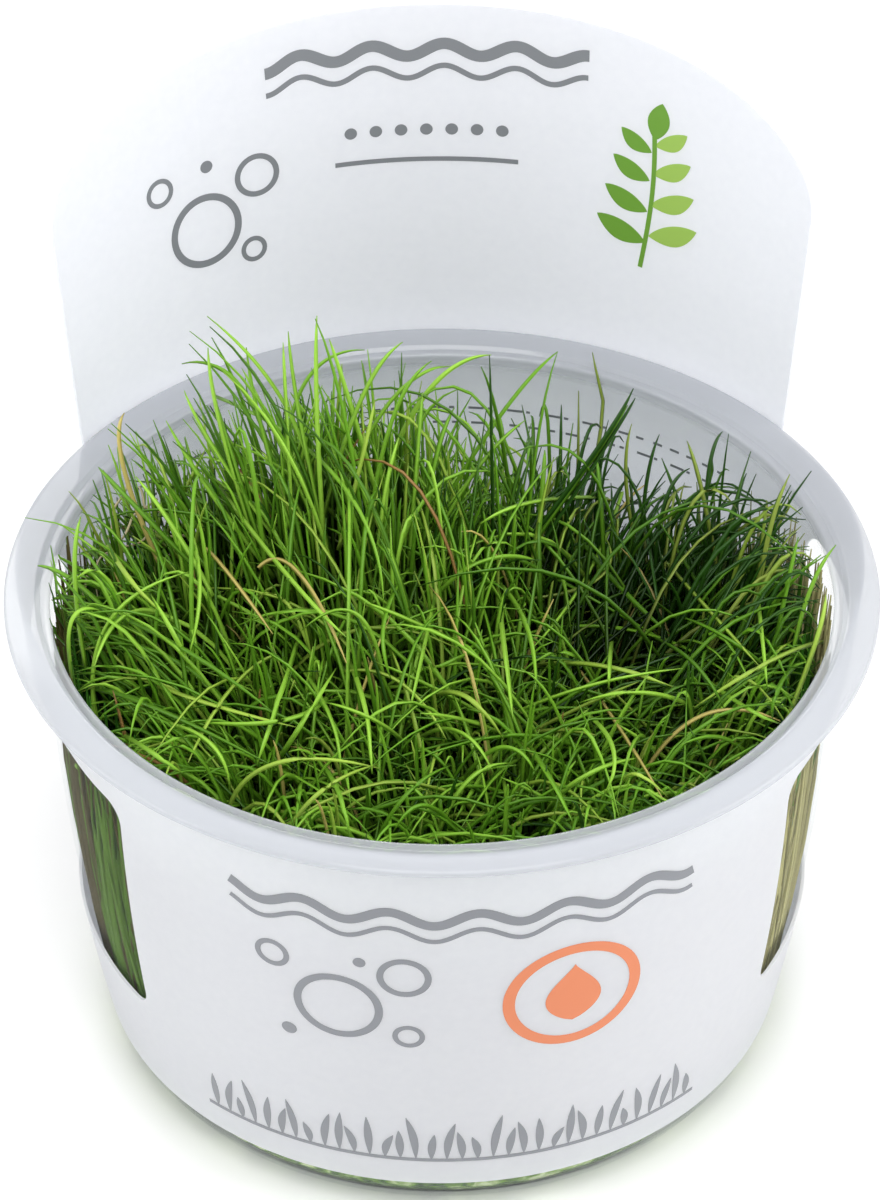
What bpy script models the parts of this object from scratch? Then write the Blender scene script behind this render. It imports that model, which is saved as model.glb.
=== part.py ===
# Dwarf hairgrass growing in a round clear plastic tub, on a bed of nutrient gel, with a card sleeve round the tub.
# Z is up. The origin is the middle of the tub's underside, and the front of the sleeve faces -Y.

import math

import bmesh
import bpy
import numpy as np
from mathutils import Vector
from mathutils.bvhtree import BVHTree

MM = 0.001
SEED = 27

# Tub: a turned shell with a flat flange
STEPS = 48
RIM_HEIGHT = 61.75 * MM
RIM_RADIUS = 50.5 * MM
FLANGE_EDGE = 0.9 * MM
FLANGE_ROUND = 0.35 * MM
LID_SEAT_RADIUS = 46.9 * MM
LID_SEAT_DROP = 0.35 * MM
WALL_TOP = 60.0 * MM
WALL_TOP_RADIUS = 45.9 * MM
WALL_FLARE = 6.5 * MM
WALL = 0.7 * MM
FLOOR = 0.9 * MM
FOOT_RADIUS = 36.8 * MM
FOOT_CHAMFER_RADIUS = 38.7 * MM
FOOT_CHAMFER_HEIGHT = 0.9 * MM
FOOT_TOP = 3.0 * MM
WALL_HEIGHTS = [14.0 * MM, 28.0 * MM, 44.0 * MM]

# Touching pieces keep this gap
GAP = 0.3 * MM

# Gel bed
GEL_TOP = 9.0 * MM
GEL_FOOT_HEIGHT = 3.4 * MM

# Card sleeve, laid out flat as an angle from the back and a height, then rolled round the tub
CARD = 0.5 * MM
SLEEVE_BOTTOM = 5.3 * MM
SLEEVE_TOP = 60.3 * MM
HEADER_HALF_ANGLE = 55.0
HEADER_SHOULDER = 90.0 * MM
HEADER_TOP = 105.0 * MM
HEADER_ARCH_POWER = 2.35
HEADER_ARCH_ANGLES = [7.5, 15.0, 22.5, 30.0, 37.5, 45.0, 49.5, 52.5, 54.4, 55.0]
WINDOW_BACK_ANGLE = 65.0
WINDOW_FRONT_RIGHT = 124.0
WINDOW_FRONT_LEFT = 126.5
WINDOW_BOTTOM = 20.0 * MM
WINDOW_TOP = 52.0 * MM
WINDOW_CORNER_ANGLE = 3.5
WINDOW_CORNER = 2.6 * MM
CORNER_POINTS = 3
SLEEVE_ROWS = [20.0 * MM, 36.0 * MM, 52.0 * MM, 62.0 * MM, 80.0 * MM]
FLAT_SCALE = 1.0 * MM
FLAT_WELD = 0.05 * MM
STRAIGHT = math.radians(179.9)
LEAN_START = 65.0
LEAN_END = 115.0
HEADER_RADIUS_AT_RIM = 51.4 * MM
HEADER_SLOPE = 0.1

# Plantlets: crowns spread evenly over the gel, each with pointed locks of blades that grow from its upper faces
CROWN_RADIUS = 2.0 * MM
CROWN_Z = GEL_TOP + GAP + CROWN_RADIUS
PLANTLETS = 32
PLANTLET_SPREAD = 36.0 * MM
PLANTLET_TURN = 137.5
LOCK_STATIONS = [0.3, 0.6, 0.85]
LOCK_RADII = [1.5 * MM, 1.2 * MM, 0.95 * MM, 0.75 * MM, 0.55 * MM]
LOCK_TAPER = 0.6
LOCK_BOW = (0.15, 0.4)
LOCK_RISE = (0.65, 0.95)
INNER_SPREAD = (1.0 * MM, 6.0 * MM)
OUTER_SPREAD = (5.0 * MM, 14.0 * MM)
INNER_FACE_SLOPE = 0.6
LOCK_TURN = 25.0
LOCK_LEAN_OUT = 0.15
PATH_SAMPLES = 46
PATH_MARGIN = 0.2 * MM
BOX_MARGIN = 3.5 * MM
LOCK_TRIES = 60

# Height of the grass: a base level, and mounds and hollows as (x, y, width, height)
CANOPY_LEVEL = 57.0 * MM
CANOPY_FORMS = [
    {"x": -12.0 * MM, "y": 14.0 * MM, "width": 17.0 * MM, "height": 20.0 * MM},
    {"x": 22.0 * MM, "y": 6.0 * MM, "width": 10.0 * MM, "height": -14.0 * MM},
    {"x": 28.0 * MM, "y": 30.0 * MM, "width": 14.0 * MM, "height": -4.0 * MM},
    {"x": -34.0 * MM, "y": 4.0 * MM, "width": 12.0 * MM, "height": 8.0 * MM},
]
CANOPY_SCATTER = 5.0 * MM

# The longest locks, in millimetres: the place that each starts near, its tip, and the rise of its bend
LONG_LOCKS = [
    ((-2, 8), (-14, 12, 91), 0.80),
    ((-4, 8), (-26, 12, 90), 0.85),
    ((-4, 10), (-17, 15, 86), 0.75),
    ((-2, 12), (-8, 18, 82), 0.80),
    ((2, 8), (6, 15, 83), 0.80),
    ((4, 8), (14, 18, 81), 0.85),
    ((6, 6), (23, 18, 75), 0.80),
    ((0, 12), (-4, 20, 80), 0.75),
    ((-14, 10), (-29, 18, 79), 0.85),
    ((-12, 14), (-26, 21, 82), 0.75),
    ((-16, 6), (-36, 10, 78), 0.80),
    ((-6, 16), (-12, 20, 82), 0.72),
    ((-28, 8), (-39, 8, 73), 0.75),
    ((-32, -4), (-45, -5, 69), 0.90),
    ((-24, 14), (-33, 16, 74), 0.70),
    ((26, 12), (34, 15, 71), 0.70),
    ((32, 6), (41, 9, 67), 0.75),
    ((34, -2), (44, -2, 66), 0.80),
    ((-10, -18), (-26, -22, 50), 1.30),
    ((-8, -20), (6, -30, 44), 1.25),
    ((8, -18), (20, -24, 46), 1.30),
    ((-16, -28), (-26, -33, 44), 1.20),
    ((24, -24), (34, -22, 48), 1.25),
    ((18, -10), (30, -12, 52), 1.20),
    ((-26, -14), (-12, -24, 50), 1.25),
]

COLOURS = {
    "tub": ((0.86, 0.88, 0.90), 0.3),
    "card": ((0.88, 0.89, 0.93), 0.45),
    "gel": ((0.62, 0.66, 0.42), 0.25),
    "grass": ((0.12, 0.33, 0.03), 0.4),
}


def material(name, kind):
    """A plain surface of one of the four finishes."""
    colour, roughness = COLOURS[kind]
    made = bpy.data.materials.new(name)
    made.use_nodes = True
    shader = made.node_tree.nodes["Principled BSDF"]
    shader.inputs["Base Color"].default_value = (*colour, 1.0)
    shader.inputs["Roughness"].default_value = roughness
    shader.inputs["Metallic"].default_value = 0.0
    return made


def add_object(name, mesh, kind, collection):
    made = bpy.data.objects.new(name, mesh)
    mesh.materials.append(material(name + "_material", kind))
    collection.objects.link(made)
    return made


def wall_radius(z):
    """Outer radius of the wall: it flares from the foot and is nearly upright below the rim."""
    return WALL_TOP_RADIUS - WALL_FLARE * (1.0 - np.minimum(z, WALL_TOP) / WALL_TOP) ** 2


def turned(name, profile, kind, collection):
    """A profile of (radius, height) points, top of the outer side before its foot, turned about Z."""
    mesh = bpy.data.meshes.new(name)
    points = [(radius, 0.0, height) for radius, height in profile]
    mesh.from_pydata(points, [(i, i + 1) for i in range(len(points) - 1)], [])
    made = add_object(name, mesh, kind, collection)
    screw = made.modifiers.new("turn", "SCREW")
    screw.steps = STEPS
    screw.render_steps = STEPS
    screw.use_merge_vertices = True
    screw.merge_threshold = 0.00001
    return made


def make_tub(collection):
    inner = [(wall_radius(z) - WALL, z) for z in WALL_HEIGHTS]
    outer = [(wall_radius(z), z) for z in reversed(WALL_HEIGHTS)]
    flange_under = RIM_HEIGHT - FLANGE_EDGE
    profile = [
        (0.0, FLOOR),
        (FOOT_RADIUS - WALL / 2, FLOOR),
        (wall_radius(FOOT_TOP) - WALL, FOOT_TOP),
        *inner,
        (WALL_TOP_RADIUS - WALL, RIM_HEIGHT - LID_SEAT_DROP - WALL),
        (WALL_TOP_RADIUS - WALL / 2, RIM_HEIGHT - LID_SEAT_DROP),
        (LID_SEAT_RADIUS, RIM_HEIGHT),
        (RIM_RADIUS - FLANGE_ROUND, RIM_HEIGHT),
        (RIM_RADIUS, RIM_HEIGHT - FLANGE_ROUND),
        (RIM_RADIUS, flange_under),
        (LID_SEAT_RADIUS, flange_under),
        (WALL_TOP_RADIUS, flange_under - FLANGE_ROUND),
        *outer,
        (wall_radius(FOOT_TOP), FOOT_TOP),
        (FOOT_CHAMFER_RADIUS, FOOT_CHAMFER_HEIGHT),
        (FOOT_RADIUS, 0.0),
        (0.0, 0.0),
    ]
    return turned("tub", profile, "tub", collection)


def make_gel(collection):
    clearance = WALL + GAP
    profile = [
        (0.0, GEL_TOP),
        (wall_radius(GEL_TOP) - clearance, GEL_TOP),
        (wall_radius(GEL_FOOT_HEIGHT) - clearance, GEL_FOOT_HEIGHT),
        (FOOT_RADIUS - clearance, FLOOR + GAP),
        (0.0, FLOOR + GAP),
    ]
    return turned("growth_gel", profile, "gel", collection)


def smooth_step(value):
    value = min(max(value, 0.0), 1.0)
    return value * value * (3.0 - 2.0 * value)


def sleeve_radius(angle_from_back, z):
    """Middle of the card: tight on the wall in front, leaning out behind until it stands outside the flange."""
    tight = wall_radius(z) + GAP + CARD / 2
    foot = wall_radius(SLEEVE_BOTTOM) + GAP + CARD / 2
    if z < RIM_HEIGHT:
        rise = (z - SLEEVE_BOTTOM) / (RIM_HEIGHT - SLEEVE_BOTTOM)
        leaning = foot + (HEADER_RADIUS_AT_RIM - foot) * rise
    else:
        leaning = HEADER_RADIUS_AT_RIM + HEADER_SLOPE * (z - RIM_HEIGHT)
    angle_from_front = 180.0 - abs(angle_from_back)
    blend = smooth_step((angle_from_front - LEAN_START) / (LEAN_END - LEAN_START))
    return tight + (leaning - tight) * blend


def header_top(angle):
    """Arched top edge of the header, whose shoulders drop steeply to its straight sides."""
    across = abs(angle) / HEADER_HALF_ANGLE
    return HEADER_SHOULDER + (HEADER_TOP - HEADER_SHOULDER) * math.sqrt(max(0.0, 1.0 - across**HEADER_ARCH_POWER))


def sleeve_outline():
    """The flat card's edge as (angle, height): the band round the tub with the header in its middle."""
    angles = [*reversed(HEADER_ARCH_ANGLES), 0.0, *(-angle for angle in HEADER_ARCH_ANGLES)]
    arch = [(angle, header_top(angle)) for angle in angles]
    return [
        (-180.0, SLEEVE_BOTTOM),
        (180.0, SLEEVE_BOTTOM),
        (180.0, SLEEVE_TOP),
        (HEADER_HALF_ANGLE, SLEEVE_TOP),
        *arch,
        (-HEADER_HALF_ANGLE, SLEEVE_TOP),
        (-180.0, SLEEVE_TOP),
    ]


def window_outline(angle_a, angle_b):
    """A rounded opening between two angles."""
    middle_angle = (angle_a + angle_b) / 2
    half_angle = abs(angle_b - angle_a) / 2 - WINDOW_CORNER_ANGLE
    middle_z = (WINDOW_BOTTOM + WINDOW_TOP) / 2
    half_z = (WINDOW_TOP - WINDOW_BOTTOM) / 2 - WINDOW_CORNER
    points = []
    for corner, (sign_a, sign_z) in enumerate([(1, 1), (-1, 1), (-1, -1), (1, -1)]):
        for i in range(CORNER_POINTS):
            turn = math.radians(90.0 * (corner + i / (CORNER_POINTS - 1)))
            points.append(
                (
                    middle_angle + sign_a * half_angle + WINDOW_CORNER_ANGLE * math.cos(turn),
                    middle_z + sign_z * half_z + WINDOW_CORNER * math.sin(turn),
                )
            )
    return points


def add_loop(bm, outline):
    verts = [bm.verts.new((angle * FLAT_SCALE, z, 0.0)) for angle, z in outline]
    return [bm.edges.new((verts[i - 1], verts[i])) for i in range(len(verts))]


def cut_flat(bm, point, normal):
    """Adds a straight row of edges across the flat card."""
    everything = bm.verts[:] + bm.edges[:] + bm.faces[:]
    bmesh.ops.bisect_plane(bm, geom=everything, plane_co=point, plane_no=normal)


def make_sleeve(collection):
    """Fills the flat outline round its two windows, rolls it up, and gives it the card's thickness."""
    bm = bmesh.new()
    edges = add_loop(bm, sleeve_outline())
    edges += add_loop(bm, window_outline(WINDOW_BACK_ANGLE, WINDOW_FRONT_RIGHT))
    edges += add_loop(bm, window_outline(-WINDOW_FRONT_LEFT, -WINDOW_BACK_ANGLE))
    bmesh.ops.triangle_fill(bm, edges=edges, use_beauty=True, normal=(0.0, 0.0, 1.0))
    step = 360.0 / STEPS
    for i in range(1, STEPS):
        cut_flat(bm, ((-180.0 + step * i) * FLAT_SCALE, 0.0, 0.0), (1.0, 0.0, 0.0))
    for z in SLEEVE_ROWS:
        cut_flat(bm, (0.0, z, 0.0), (0.0, 1.0, 0.0))
    bmesh.ops.remove_doubles(bm, verts=bm.verts, dist=FLAT_WELD)
    inner = [edge for edge in bm.edges if len(edge.link_faces) == 2 and not on_grid(edge, step)]
    bmesh.ops.dissolve_edges(bm, edges=inner, use_verts=False)
    bmesh.ops.dissolve_verts(bm, verts=[vert for vert in bm.verts if is_spare(vert)])
    for vert in bm.verts:
        angle, z = vert.co.x / FLAT_SCALE, vert.co.y
        radius = sleeve_radius(angle, z)
        turn = math.radians(angle)
        vert.co = (radius * math.sin(turn), radius * math.cos(turn), z)
    bmesh.ops.remove_doubles(bm, verts=bm.verts, dist=GAP / 10)
    bmesh.ops.recalc_face_normals(bm, faces=bm.faces)
    mesh = bpy.data.meshes.new("card_sleeve")
    bm.to_mesh(mesh)
    bm.free()
    made = add_object("card_sleeve", mesh, "card", collection)
    solidify = made.modifiers.new("card", "SOLIDIFY")
    solidify.thickness = CARD
    solidify.offset = 0.0
    solidify.use_even_offset = True
    return made


def on_grid(edge, step):
    """Whether an edge of the flat card lies on one of the upright or level rows."""
    (xa, ya, _), (xb, yb, _) = edge.verts[0].co, edge.verts[1].co
    near = 0.001 * MM
    if abs(xa - xb) < near:
        return abs(xa / FLAT_SCALE / step - round(xa / FLAT_SCALE / step)) < 0.001
    return abs(ya - yb) < near and any(abs(ya - z) < near for z in SLEEVE_ROWS)


def is_spare(vert):
    """Whether a vertex only divides one straight edge."""
    if len(vert.link_edges) != 2:
        return False
    ends = [edge.other_vert(vert).co - vert.co for edge in vert.link_edges]
    return ends[0].angle(ends[1]) > STRAIGHT


def canopy_height(x, y):
    """Height of the grass over a place: the base level with round mounds and hollows on it."""
    height = CANOPY_LEVEL
    for form in CANOPY_FORMS:
        away = ((x - form["x"]) ** 2 + (y - form["y"]) ** 2) / form["width"] ** 2
        height += form["height"] * math.exp(-away)
    return height


def crown_places():
    """The middle of each plantlet, in a spiral that fills the round bed evenly."""
    places = []
    for i in range(PLANTLETS):
        away = PLANTLET_SPREAD * math.sqrt((i + 0.5) / PLANTLETS)
        turn = math.radians(PLANTLET_TURN * i)
        places.append((away * math.cos(turn), away * math.sin(turn)))
    return places


def crown_at(x, y):
    """A crown, and its upward faces, from which the locks grow."""
    bm = bmesh.new()
    bmesh.ops.create_icosphere(bm, subdivisions=1, radius=CROWN_RADIUS)
    bmesh.ops.translate(bm, vec=(x, y, CROWN_Z), verts=bm.verts)
    bm.normal_update()
    return bm, [face for face in bm.faces if face.normal.z > 0.0]


def lock_path(root, tip, bow, rise):
    """Three guide points of a lock: it leaves the crown upwards and bends over towards its tip."""
    root, tip = np.array(root), np.array(tip)
    reach = tip - root
    bend = root + np.array([reach[0] * bow, reach[1] * bow, reach[2] * rise])
    return np.array([root, bend, tip])


def path_points(path, along):
    """Points on the curve of a path's three guide points, at shares of its length from root to tip."""
    along = np.asarray(along)[:, None]
    return (1 - along) ** 2 * path[0] + 2 * along * (1 - along) * path[1] + along**2 * path[2]


def path_heading(path, along):
    return Vector((1 - along) * (path[1] - path[0]) + along * (path[2] - path[1])).normalized()


def thinning(along):
    """How a lock thins towards its pointed tip, as a share of its full radius."""
    return (1.0 - np.asarray(along)) ** LOCK_TAPER


def clears(lock, placed):
    """Whether a lock keeps a gap to other plantlets, and off its own plantlet's locks above the crown.

    A lock is rows of x, y, z, radius, share of its length and plantlet, as are all the placed ones together.
    """
    low = lock[:, :3].min(axis=0) - BOX_MARGIN
    high = lock[:, :3].max(axis=0) + BOX_MARGIN
    near = placed[np.all((placed[:, :3] > low) & (placed[:, :3] < high), axis=1)]
    apart = np.linalg.norm(lock[:, None, :3] - near[None, :, :3], axis=2)
    own = near[:, 5] == lock[0, 5]
    above = (lock[:, 4:5] > LOCK_STATIONS[0]) & (near[None, :, 4] > LOCK_STATIONS[0])
    gap = np.where(own, 0.0, GAP + PATH_MARGIN)
    touching = apart < lock[:, 3:4] + near[None, :, 3] + gap
    return not np.any(touching & (above | ~own))


def inside_tub(points, radii):
    """Whether a lock stays within the wall, and within the lid seat above the rim."""
    away = np.hypot(points[:, 0], points[:, 1]) + radii
    inner = np.where(points[:, 2] < RIM_HEIGHT + GAP, wall_radius(points[:, 2]) - WALL - GAP, LID_SEAT_RADIUS)
    return bool(np.all(away < inner))


def random_tip(rng, x, y, face):
    """A tip that strays from above the crown to the side that its face looks to."""
    stray = rng.uniform(*(INNER_SPREAD if face.normal.z > INNER_FACE_SLOPE else OUTER_SPREAD))
    turn = math.atan2(face.normal.y, face.normal.x) + math.radians(rng.uniform(-LOCK_TURN, LOCK_TURN))
    tip_x = x * (1.0 + LOCK_LEAN_OUT) + stray * math.cos(turn)
    tip_y = y * (1.0 + LOCK_LEAN_OUT) + stray * math.sin(turn)
    return tip_x, tip_y, canopy_height(tip_x, tip_y) + rng.uniform(-1.0, 1.0) * CANOPY_SCATTER


def nearest_face(faces, taken, tip, x, y):
    """The free face that looks most nearly towards a tip."""
    away = Vector((tip[0] - x, tip[1] - y, 0.0)).normalized()
    return max((face for face in faces if face.index not in taken), key=lambda face: face.normal.dot(away))


def grow_from_face(bm, face, path, radius):
    """Extrudes a face of the crown along a path through the stations to a pointed tip."""
    centre = face.calc_center_median()
    spokes = [vert.co - centre for vert in face.verts]
    for along in [*LOCK_STATIONS, 1.0]:
        heading = path_heading(path, along)
        middle = Vector(path_points(path, [along])[0])
        face = bmesh.ops.extrude_discrete_faces(bm, faces=[face])["faces"][0]
        for vert, spoke in zip(face.verts, spokes):
            across = (spoke - heading * spoke.dot(heading)).normalized()
            vert.co = middle + across * radius * float(thinning(along))
    bmesh.ops.pointmerge(bm, verts=face.verts, merge_co=middle)


def grown_plantlet(at, locks):
    """A crown with its locks grown from their faces."""
    bm, faces = crown_at(*at)
    for face, path, radius in [(face, *locks[face.index]) for face in faces if face.index in locks]:
        grow_from_face(bm, face, path, radius)
    return bm


def crosses_itself(bm):
    """Whether two faces that share no corner meet."""
    corners = [{tuple(vert.co) for vert in face.verts} for face in bm.faces]
    tree = BVHTree.FromBMesh(bm)
    return any(not corners[a] & corners[b] for a, b in tree.overlap(tree))


def grow_locks():
    """Each plantlet's locks as {face number: (path, radius)}: the long ones first, then one on every free face."""
    rng = np.random.default_rng(SEED)
    along = np.linspace(0.0, 1.0, PATH_SAMPLES)
    stations = [0.0, *LOCK_STATIONS, 1.0]
    places = crown_places()
    locks = [{} for place in places]
    placed = np.zeros((0, 6))

    def place(number, face, tip, bow, rise, radius):
        nonlocal placed
        path = lock_path(face.calc_center_median(), tip, bow, rise)
        corners = path_points(path, stations)
        points = np.column_stack([np.interp(along, stations, side) for side in corners.T])
        radii = radius * thinning(along)
        lock = np.column_stack([points, radii, along, np.full(PATH_SAMPLES, float(number))])
        if not inside_tub(points, radii) or not clears(lock, placed):
            return False
        trial = grown_plantlet(places[number], {**locks[number], face.index: (path, radius)})
        crossed = crosses_itself(trial)
        trial.free()
        if crossed:
            return False
        locks[number][face.index] = (path, radius)
        placed = np.vstack([placed, lock])
        return True

    for start, tip, rise in LONG_LOCKS:
        tip = [size * MM for size in tip]
        near = [math.dist(crown, (start[0] * MM, start[1] * MM)) for crown in places]
        number = near.index(min(near))
        crown, faces = crown_at(*places[number])
        face = nearest_face(faces, locks[number], tip, *places[number])
        any(place(number, face, tip, bow, rise, radius) for radius in LOCK_RADII for bow in LOCK_BOW)
        crown.free()
    for number in range(PLANTLETS):
        crown, faces = crown_at(*places[number])
        for face in faces:
            for attempt in range(LOCK_TRIES):
                radius = LOCK_RADII[attempt * len(LOCK_RADII) // LOCK_TRIES]
                tip = random_tip(rng, *places[number], face)
                bend = rng.uniform(*LOCK_BOW), rng.uniform(*LOCK_RISE)
                if face.index in locks[number] or place(number, face, tip, *bend, radius):
                    break
        crown.free()
    return places, locks


def make_plantlet(name, at, locks, collection):
    bm = grown_plantlet(at, locks)
    mesh = bpy.data.meshes.new(name)
    bm.to_mesh(mesh)
    bm.free()
    return add_object(name, mesh, "grass", collection)


def main():
    for old in list(bpy.data.objects):
        bpy.data.objects.remove(old, do_unlink=True)
    collection = bpy.data.collections.new("dwarf_hairgrass")
    bpy.context.scene.collection.children.link(collection)
    make_tub(collection)
    make_gel(collection)
    make_sleeve(collection)
    places, locks = grow_locks()
    for number in range(PLANTLETS):
        make_plantlet(f"plantlet_{number + 1:02d}", places[number], locks[number], collection)


main()
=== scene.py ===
import math

import bpy
import numpy as np
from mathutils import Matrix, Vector


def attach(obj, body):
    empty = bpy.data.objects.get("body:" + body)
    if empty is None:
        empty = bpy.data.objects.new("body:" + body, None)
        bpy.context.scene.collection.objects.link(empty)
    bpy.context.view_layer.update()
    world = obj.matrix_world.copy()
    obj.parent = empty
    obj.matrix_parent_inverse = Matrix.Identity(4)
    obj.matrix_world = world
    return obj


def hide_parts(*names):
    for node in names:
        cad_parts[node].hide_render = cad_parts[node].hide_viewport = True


# dwarf hairgrass in its tub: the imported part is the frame, everything here is dressed over it
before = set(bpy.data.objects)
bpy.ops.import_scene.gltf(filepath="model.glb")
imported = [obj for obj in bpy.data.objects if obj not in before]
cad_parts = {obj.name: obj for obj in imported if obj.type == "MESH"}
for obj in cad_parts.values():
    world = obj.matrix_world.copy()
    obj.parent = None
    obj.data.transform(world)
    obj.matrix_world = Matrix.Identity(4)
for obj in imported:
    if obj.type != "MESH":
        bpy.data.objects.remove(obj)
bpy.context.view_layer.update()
mm = 0.001
scene = bpy.context.scene
scene.view_settings.view_transform = "Standard"


# helpers shared by every piece

def meshObject(name, verts, faces, sharpAngle=None):
    # verts is (n, 3) in millimetres, faces a list of (m, 3) or (m, 4) index arrays
    mesh = bpy.data.meshes.new(name)
    loops = np.concatenate([f.ravel() for f in faces])
    sizes = np.concatenate([np.full(len(f), f.shape[1]) for f in faces])
    starts = np.concatenate([[0], np.cumsum(sizes)[:-1]])
    mesh.vertices.add(len(verts))
    mesh.vertices.foreach_set("co", (np.asarray(verts) * mm).astype(np.float32).ravel())
    mesh.loops.add(len(loops))
    mesh.loops.foreach_set("vertex_index", loops.astype(np.int32))
    mesh.polygons.add(len(sizes))
    mesh.polygons.foreach_set("loop_start", starts.astype(np.int32))
    mesh.update(calc_edges=True)
    mesh.shade_smooth()
    if sharpAngle is not None:
        mesh.set_sharp_from_angle(angle=math.radians(sharpAngle))
    piece = bpy.data.objects.new(name, mesh)
    scene.collection.objects.link(piece)
    return piece


def gridFaces(rows, columns, closed=False, start=0):
    # quads of a rows x columns grid of points, closed joins the last column to the first
    i = np.arange(rows - 1)[:, None]
    j = np.arange(columns if closed else columns - 1)[None, :]
    k = (j + 1) % columns
    quads = np.stack([i * columns + j, i * columns + k, (i + 1) * columns + k, (i + 1) * columns + j], -1)
    return quads.reshape(-1, 4) + start


def putOn(piece, slot, material, *nodes):
    # every piece is part of the one body
    piece.data.materials.append(material)
    if nodes:
        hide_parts(*nodes)
    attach(piece, "root")


def newMaterial(name, baseColour, roughness, **sockets):
    material = bpy.data.materials.new(name)
    material.use_nodes = True
    shader = material.node_tree.nodes["Principled BSDF"]
    shader.inputs["Base Color"].default_value = (*baseColour, 1.0)
    shader.inputs["Roughness"].default_value = roughness
    for socket, value in sockets.items():
        shader.inputs[socket.replace("_", " ")].default_value = value
    return material, material.node_tree.nodes, material.node_tree.links, shader


def blend(nodes, links, first, second, share):
    # mixes two shaders, share is a number or a socket
    mix = nodes.new("ShaderNodeMixShader")
    if isinstance(share, float):
        mix.inputs["Fac"].default_value = share
    else:
        links.new(share, mix.inputs["Fac"])
    links.new(first.outputs[0], mix.inputs[1])
    links.new(second.outputs[0], mix.inputs[2])
    return mix


def smoothStep(value):
    value = np.clip(value, 0.0, 1.0)
    return value * value * (3.0 - 2.0 * value)


# tub: outside sizes are the solid's, the wall and floor are as thin as the moulding looks

tubSize = {
    "rimHeight": 61.75, "rimRadius": 50.5, "edge": 0.9, "edgeRound": 0.35,
    "seatRadius": 46.9, "seatDrop": 0.35,
    "wallTop": 60.0, "wallTopRadius": 45.9, "flare": 6.5, "wall": 0.7, "thinWall": 0.4,
    "floor": 0.35, "footRadius": 36.8, "chamferRadius": 38.7, "chamferHeight": 0.9, "footTop": 3.0,
    "ledge": 53.2, "ledgeStep": 0.2, "segments": 256,
}


def wallRadius(z):
    # outer radius: top radius less the flare times the square of how far below the top
    t = tubSize
    return t["wallTopRadius"] - t["flare"] * (1.0 - np.minimum(z, t["wallTop"]) / t["wallTop"]) ** 2


def turned(profile, segments):
    # a profile of (radius, height) rows turned about z: x = r cos a, y = r sin a; rows of radius 0 are poles
    profile = np.asarray(profile, float)
    angle = np.linspace(0.0, 2.0 * np.pi, segments, endpoint=False)
    rings = profile[1:-1]
    verts = np.stack([
        rings[:, :1] * np.cos(angle), rings[:, :1] * np.sin(angle), np.repeat(rings[:, 1:], segments, 1),
    ], -1).reshape(-1, 3)
    poles = np.array([[0.0, 0.0, profile[0, 1]], [0.0, 0.0, profile[-1, 1]]])
    count = len(verts)
    around = np.arange(segments)
    after = (around + 1) % segments
    first = np.stack([np.full(segments, count), around, after], -1)
    lastRing = count - segments
    last = np.stack([np.full(segments, count + 1), lastRing + after, lastRing + around], -1)
    quads = gridFaces(len(rings), segments, closed=True)[:, ::-1]
    return np.concatenate([verts, poles]), [quads, first[:, [0, 1, 2]], last[:, [0, 1, 2]]]


def tubProfile():
    # inner floor, inner wall, lid seat, flange, outer wall, foot: round corners are short arcs
    t = tubSize
    heights = np.linspace(t["footTop"] + 1.0, t["wallTop"] - 0.6, 40)
    stepped = np.sort(np.append(heights, [t["ledge"] - 0.15, t["ledge"] + 0.15]))
    inner = [(wallRadius(z) - t["thinWall"] - t["ledgeStep"] * (z > t["ledge"]), z) for z in stepped]
    outer = [(wallRadius(z), z) for z in heights[::-1]]
    rim, under = t["rimHeight"], t["rimHeight"] - t["edge"]
    return [
        (0.0, t["floor"]),
        (20.0, t["floor"]),
        (t["footRadius"] - 0.3, t["floor"]),
        (t["footRadius"] + 0.2, t["floor"] + 0.1),
        (t["footRadius"] + 0.9, t["floor"] + 0.4),
        (t["chamferRadius"] - 0.45, t["chamferHeight"] + 0.25),
        (wallRadius(t["footTop"]) - t["thinWall"], t["footTop"]),
        *inner,
        (t["wallTopRadius"] - t["wall"], rim - t["seatDrop"] - 0.5),
        (t["wallTopRadius"] - t["wall"] * 0.93, rim - t["seatDrop"] - 0.17),
        (t["wallTopRadius"] - t["wall"] * 0.7, rim - t["seatDrop"] - 0.03),
        (t["wallTopRadius"] - t["wall"] * 0.5, rim - t["seatDrop"]),
        (t["wallTopRadius"] - 0.15, rim - t["seatDrop"]),
        (t["wallTopRadius"] + 0.32, rim - t["seatDrop"]),
        (t["wallTopRadius"] + 0.44, rim - t["seatDrop"] - 0.06),
        (t["wallTopRadius"] + 0.6, rim - t["seatDrop"] + 0.02),
        (t["seatRadius"] - 0.14, rim - 0.1),
        (t["seatRadius"] - 0.04, rim - 0.02),
        (t["seatRadius"] + 0.08, rim),
        (t["seatRadius"] + 0.3, rim),
        (t["rimRadius"] - 0.85, rim),
        (t["rimRadius"] - 0.6, rim - 0.01),
        (t["rimRadius"] - 0.27, rim - 0.06),
        (t["rimRadius"] - 0.08, rim - 0.17),
        (t["rimRadius"], rim - t["edgeRound"]),
        (t["rimRadius"], under + 0.12),
        (t["rimRadius"] - 0.12, under),
        (t["seatRadius"] + 0.3, under),
        (t["seatRadius"] - 0.35, under - 0.1),
        (t["wallTopRadius"] + 0.1, under - t["edgeRound"]),
        (t["wallTopRadius"], under - t["edgeRound"] - 0.4),
        *outer,
        (wallRadius(t["footTop"]), t["footTop"]),
        (t["chamferRadius"] + 0.2, t["footTop"] - 0.9),
        (t["chamferRadius"], t["chamferHeight"]),
        (t["footRadius"] + 1.1, 0.35),
        (t["footRadius"] + 0.35, 0.07),
        (t["footRadius"], 0.0),
        (20.0, 0.0),
        (0.0, 0.0),
    ]


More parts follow.
